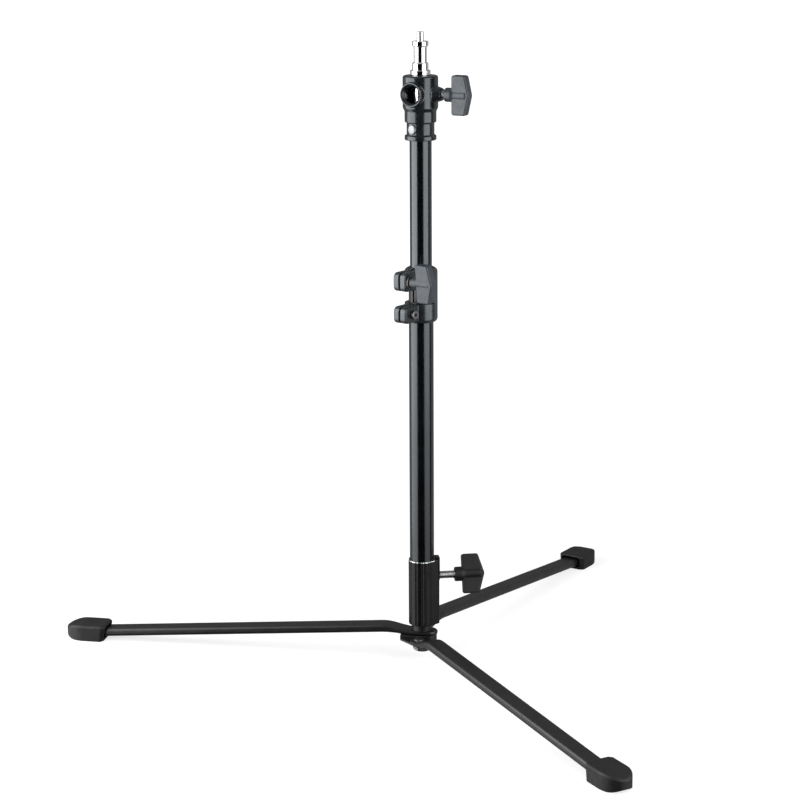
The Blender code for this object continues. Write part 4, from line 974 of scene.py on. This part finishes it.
# %% Tubes and end plug
TUBE_WALL, UPPER_R, LOWER_R = 1.2, 11.0, 12.5
for side, radius in (("lower", LOWER_R), ("upper", UPPER_R)):
    name = side + "_tube"
    piece(name, tube(radius - TUBE_WALL, radius, *cad_heights(name), 0.3, 128), UPRIGHT, side + "_column",
          anodised)
tube_end = cad_heights("upper_tube")[0]
stop_line = [(0, tube_end - 2.0), (UPPER_R, tube_end - 2.0), (UPPER_R, tube_end - 0.3),
             (9.5, tube_end - 0.3), (9.5, tube_end + 9.7), (0, tube_end + 9.7)]
piece("upper_tube_plug", turned(stop_line, [0, 0.5, 0.2, 0.1, 0.4, 0]), UPRIGHT, "upper_column_plug",
      liner_plastic)

# %% [markdown]
# ## The clamp collar
# The collar is a cast ring, split on one side. Two pairs of ears stand out from it: the upper pair is
# drawn together by the knob, and the lower pair holds the collar on the lower tube with a socket
# screw. Between the pairs a window is cut through the front half, so the upper ears can move alone.
# Every cutting shape runs a little past the piece, so that none of its faces lies on the piece's own.

# %% Collar
COLLAR_Z, COLLAR_TOP, COLLAR_R, EAR_AZ = 360.7, 416.2, 16.7, -127.0
UPPER_EARS, LOWER_EARS = (396.2, 415.2), (363.7, 380.7)
EAR_START, EAR_REACH, EAR_FACE, EAR_GAP = 6.8, 36.2, 7.7, 1.8
PAST, M6_HOLE, M5_HOLE = 4.0, 3.3, 2.8


def hexagon(flats, rim):
    return eased(rays(np.radians(np.arange(6) * 60.0)) * flats / math.sqrt(3), rim, 2)


def cut_box(x, y, z):
    return solid("cut", prism(rectangle(*x, *y), *z), standing(EAR_AZ))


def ear_screw(along, height):
    """Frame of a screw through the ears: level, across them."""
    return lying(EAR_AZ + 90, heading(EAR_AZ) * along + np.array([0, 0, height]))


ears = []
for low, high in (UPPER_EARS, LOWER_EARS):
    ear_outline = eased(rectangle(EAR_START, EAR_REACH, low, high), (0, 5.2, 5.2, 0), 8)
    ear = on_edge(plate(ear_outline, -EAR_FACE, EAR_FACE, rim=1.4, steps=4))
    ears.append(solid("ears", ear, standing(EAR_AZ)))
clamp_place, lock_place = ear_screw(28.0, 405.7), ear_screw(24.0, 372.2)
ear_past, side_past = EAR_REACH + PAST, COLLAR_R + PAST
through = (-EAR_FACE - PAST, EAR_FACE + PAST)
full_height = (COLLAR_Z - PAST, COLLAR_TOP + PAST)
cuts = [cut_box((-1.0, ear_past), (-side_past, side_past), (LOWER_EARS[1], UPPER_EARS[0])),
        cut_box((EAR_START, ear_past), (-EAR_GAP / 2, EAR_GAP / 2), full_height),
        solid("bore", rod(12.8, *full_height, around=128)),
        solid("hole", rod(M6_HOLE, *through), clamp_place),
        solid("hole", rod(M5_HOLE, *through), lock_place),
        solid("pocket", prism(hexagon(10.6, 0.0), through[0], -3.4), clamp_place)]
collar = solid("clamp_collar", rod(COLLAR_R, COLLAR_Z, COLLAR_TOP, 4.2, 128))
worked(collar, joined=ears, cut=cuts)
moulded(collar, 0.4, 3)
fitted(shaded(collar, 60), "lower_column", collar_paint, "clamp_collar")

# %% Liner, nuts and washer
LINER_IN, LINER_OUT, LINER_HALF_GAP = 11.3, LOWER_R, 1.2
liner_section = held(eased(rectangle(LINER_IN, LINER_OUT, 381.5, 416.8), 0.2, 3), True)
liner_gap = math.asin(LINER_HALF_GAP / ((LINER_IN + LINER_OUT) / 2))
piece("collar_liner", arc_swept(liner_section, liner_gap, 2 * math.pi - liner_gap, 120), standing(EAR_AZ),
      "lower_column", liner_plastic)


def nut_piece(name, place, flats, low, high, bore_r):
    """Rows up the hexagon's outside, cut by a cone at both faces, and back down the bore."""
    depths = HEX_DEPTHS[:6]
    r = np.vstack([hex_rows(flats, np.concatenate([depths, depths[::-1]])),
                   round_rows([bore_r + 0.3, bore_r, bore_r, bore_r + 0.3])])
    z = np.concatenate([low + depths, high - depths[::-1], [high, high - 0.3, low + 0.3, low]])
    return piece(name, rowed(r, z, True), place, "lower_column", zinc)


nut_piece("clamp_nut", clamp_place, 10.0, -EAR_FACE, -EAR_FACE + 4.0, M6_HOLE)
nut_piece("lock_nut", lock_place, 8.0, -EAR_FACE - 3.8, -EAR_FACE - 0.3, M5_HOLE)
piece("clamp_washer", tube(M6_HOLE, 6.8, EAR_FACE + 0.3, EAR_FACE + 1.7, 0.2, 64), clamp_place,
      "clamp_screw_washer", dark_rivet)

# %% Clamp screw and socket screw
clamp_start = EAR_FACE + 2.0
stud_piece("clamp_stud", clamp_place,
           [-EAR_FACE, clamp_start + 0.3, clamp_start + 0.9, clamp_start + STUD_IN_KNOB],
           [3.0, 3.0, M8_R, M8_R], 1.0, "clamp_screw")
knob_piece("clamp_knob", lying(EAR_AZ + 90, clamp_place[1], 5.0), clamp_start, SMALL_KNOB, 5.6,
           "clamp_screw", grained_nylon)
lock_line = [(0, -12.1), (2.5, -12.1), (2.5, 8.0), (4.3, 8.0), (4.3, 11.4), (0, 11.4)]
lock = solid("lock_screw", turned(lock_line, [0, 0.5, 0, 0.2, 0.5, 0], 64), lock_place)
worked(lock, cut=[solid("socket", prism(hexagon(4.0, 0.1), 9.4, 15.4), lock_place)])
fitted(shaded(lock), "lower_column", steel, "lock_screw")

# %% [markdown]
# ## The head
# The head is a turned and painted casting. The spigot stands in its top, a second hole crosses it with
# a raised rim in front, and a boss on the side carries the clamping screw. Everything is made from
# turned shapes, joined and bored, and the moulded skin gives the fillets between them.

# %% Head casting
HEAD_Z, HEAD_TOP, BORE_Z, SPIGOT_HOLE, BOSS_END = 544.0, 607.6, 589.8, 8.3, 24.7
head_line = [(0, HEAD_Z), (15.8, HEAD_Z), (15.8, HEAD_Z + 4.6), (13.8, HEAD_Z + 5.4), (13.8, HEAD_Z + 17.2),
             (15.8, HEAD_Z + 17.8), (15.8, HEAD_Z + 28.4), (17.6, HEAD_Z + 32.0), (17.6, HEAD_TOP),
             (0, HEAD_TOP)]
socket_line = [(0, HEAD_Z - PAST), (11.3, HEAD_Z - PAST), (11.3, 569.5), (SPIGOT_HOLE, 569.5),
               (SPIGOT_HOLE, HEAD_TOP + PAST), (0, HEAD_TOP + PAST)]
cross_line = [(0, -21.6), (8.2, -21.6), (8.2, 17.2), (14.6, 23.6), (0, 23.6)]
boss_line = [(0, 4.0), (8.3, 4.0), (8.3, 17.6), (6.2, BOSS_END), (0, BOSS_END)]
bore_place, knob_place = lying(-120, (0, 0, BORE_Z)), lying(-30, (0, 0, BORE_Z))
pin_place = lying(-127, (0, 0, HEAD_Z + 11.1))

head = solid("head_casting", turned(head_line, [0, 0.9, 1.0, 0.6, 0.6, 0.7, 2.0, 2.2, 2.2, 0], 128))
rim_boss = solid("boss", rod(12.0, 4.0, 19.6, [0, 0, 0.5, 0], 128), bore_place)
stud_boss = solid("boss", turned(boss_line, [0, 0, 1.0, 0.6, 0]), knob_place)
worked(head, joined=[rim_boss, stud_boss],
       cut=[solid("socket", turned(socket_line)), solid("cross", turned(cross_line), bore_place),
            solid("hole", rod(M8_HOLE, 4.0, BOSS_END + PAST), knob_place),
            solid("hole", rod(2.1, 7.0, 17.8, around=48), pin_place)])
moulded(head, 0.4, 3)
fitted(shaded(head, 60), "upper_column", casting_paint, "head_casting")

# %% Head rivet, screw and knob
pin_line = [(0, 11.3), (1.8, 11.3), (1.8, 14.1)] + dome(5.0, 14.1, 1.4)
piece("head_rivet", turned(pin_line, around=64), pin_place, "upper_column", bright_zinc)
head_start = BOSS_END + 4.3
stud_piece("head_knob_stud", knob_place, [10.8, head_start + STUD_IN_KNOB], [M8_R, M8_R], M8_PITCH,
           "head_screw")
pad_piece("head_knob_pad", knob_place, 8.3, "head_screw_pad")
knob_piece("head_knob", knob_place, head_start, SMALL_KNOB, 7.0, "head_screw", grained_nylon)

# %% [markdown]
# ## The spigot
# The lighting spigot is turned from bar and chromed: a shank in the head, a flange on its top, a land,
# the long waist that a lamp's screw bites in, another land and a short tip.

# %% Spigot
seat = HEAD_TOP + 0.3
steps_up = [(0, -36.0), (8.0, -36.0), (8.0, 0), (10.0, 0), (10.0, 4.6), (8.0, 4.6), (8.0, 11.4), (6.4, 12.4),
            (6.4, 27.4), (8.0, 28.4), (8.0, 32.9), (3.4, 32.9), (3.4, 42.1), (0, 42.1)]
step_rims = [0, 0.6, 0, 0.5, 0.5, 0.2, 0.5, 0.6, 0.6, 0.4, 0.6, 0.3, 0.6, 0]
piece("spigot", turned(steps_up, step_rims, 128), standing(0, (0, 0, seat)), "spigot", chrome)

# %% [markdown]
# ## Floor, light and camera
# A pale floor and a white background, as in a product picture. Two tall soft boxes stand left and
# right of the camera and leave a dark gap between them: that gap is what draws the dark line down the
# middle of each black tube. Each box is a stack of flat lamps, so its light can change with height. The
# camera stands where the photographer stood.


# %% Floor
def plain_floor(half=12.0):
    """A white sheet that bounces light to the stand. To the camera it glows a little, and more with
    distance, so that it meets the white background with no edge."""
    mesh = bpy.data.meshes.new("floor")
    mesh.from_pydata([(-half, -half, 0), (half, -half, 0), (half, half, 0), (-half, half, 0)], [],
                     [(0, 1, 2, 3)])
    obj = added("floor", mesh)
    mat = bpy.data.materials.new("floor")
    kit = empty_tree(mat)
    paper, shown = kit.add("ShaderNodeBsdfDiffuse"), kit.add("ShaderNodeBsdfDiffuse")
    paper.inputs["Color"].default_value = (0.80, 0.80, 0.80, 1.0)
    shown.inputs["Color"].default_value = (0.40, 0.40, 0.40, 1.0)
    away = kit.add("ShaderNodeVectorMath", operation="LENGTH")
    kit.link(kit.add("ShaderNodeTexCoord").outputs["Object"], away.inputs[0])
    strength = kit.between(away.outputs["Value"], 0.3, 1.6, 0.74, 1.02)
    glow = kit.fill(kit.add("ShaderNodeEmission"), Strength=strength)
    both = kit.pair(kit.add("ShaderNodeAddShader"), shown.outputs[0], glow)
    pick = kit.add("ShaderNodeMixShader")
    for target, source in zip(pick.inputs, (kit.add("ShaderNodeLightPath").outputs["Is Camera Ray"],
                                            paper.outputs[0], both)):
        kit.link(source, target)
    kit.link(pick.outputs[0], kit.add("ShaderNodeOutputMaterial").inputs["Surface"])
    mesh.materials.append(mat)
    obj.visible_glossy = False
    return obj


print("floor:", np.round(plain_floor().dimensions[:2], 1), "m")

# %% Sky
world = bpy.data.worlds.new("studio")
bpy.context.scene.world = world
kit = empty_tree(world)
toward = kit.add("ShaderNodeSeparateXYZ")
kit.link(kit.add("ShaderNodeTexCoord").outputs["Generated"], toward.inputs[0])
sides = kit.between(toward.outputs["Y"], 0.02, 0.34, 0.004, 0.55)
behind = kit.math("SUBTRACT", sides, kit.between(toward.outputs["Y"], 0.62, 0.9, 0.0, 0.34))
above = kit.between(toward.outputs["Z"], 0.35, 0.9, 0.0, 0.5)
level = kit.math("MAXIMUM", kit.math("MAXIMUM", behind, above),
                 kit.add("ShaderNodeLightPath").outputs["Is Camera Ray"])
sky = kit.fill(kit.add("ShaderNodeBackground"), Strength=level)
kit.link(sky, kit.add("ShaderNodeOutputWorld").inputs["Surface"])
print("sky nodes:", len(world.node_tree.nodes))

# %% Soft boxes
BOX_HEIGHTS = (-0.45, -0.135, 0.005, 0.144, 0.347, 1.2)
BOX_LAMPS = 10


def soft_box(name, x, y, facing, width, radiances):
    """A tall box of flat lamps that face along the level azimuth facing, sizes in metres. A flat lamp
    shows a radiance when its power is that radiance times its area times pi."""
    edges = np.linspace(BOX_HEIGHTS[0], BOX_HEIGHTS[-1], BOX_LAMPS + 1)
    tall = edges[1] - edges[0]
    for number, middle in enumerate(edges[:-1] + tall / 2):
        light = bpy.data.lights.new(f"{name}_{number}", "AREA")
        light.shape = "RECTANGLE"
        light.size, light.size_y = width, tall
        light.energy = float(np.interp(middle, BOX_HEIGHTS, radiances)) * width * tall * math.pi
        obj = added(light.name, light)
        obj.location = (x, y, middle)
        obj.rotation_euler = (math.radians(90), 0.0, math.radians(facing - 90))
        obj.visible_camera = False


soft_box("soft_box_left", -0.75, -0.375, 0.0, 1.25, (1.3, 1.9, 2.6, 3.5, 4.3, 3.6))
soft_box("soft_box_right", 0.887, -0.56, 145.0, 1.0, (0.5, 0.95, 1.45, 2.4, 3.3, 2.9))
print("lamps:", len(bpy.data.lights))

# %% Camera
PITCH, YAW, ROLL = (math.radians(v) for v in (13.789, -0.583, -0.336))
EYE, LENS, SENSOR = (0.088298, -2.145244, 0.80645), 97.74, 36.0
look = np.array([math.sin(YAW) * math.cos(PITCH), math.cos(YAW) * math.cos(PITCH), -math.sin(PITCH)])
right = np.array([math.cos(YAW), -math.sin(YAW), 0.0])
up = np.cross(right, look)
pose = np.eye(4)
pose[:3, 0] = math.cos(ROLL) * right + math.sin(ROLL) * up
pose[:3, 1] = math.cos(ROLL) * up - math.sin(ROLL) * right
pose[:3, 2] = -look
pose[:3, 3] = EYE
camera = added("camera", bpy.data.cameras.new("camera"))
camera.matrix_world = [list(row) for row in pose.T]
camera.data.sensor_width = SENSOR
camera.data.lens = LENS
bpy.context.scene.camera = camera
bpy.context.scene.view_settings.view_transform = "Standard"
print("camera at", np.round(pose[:3, 3], 3))
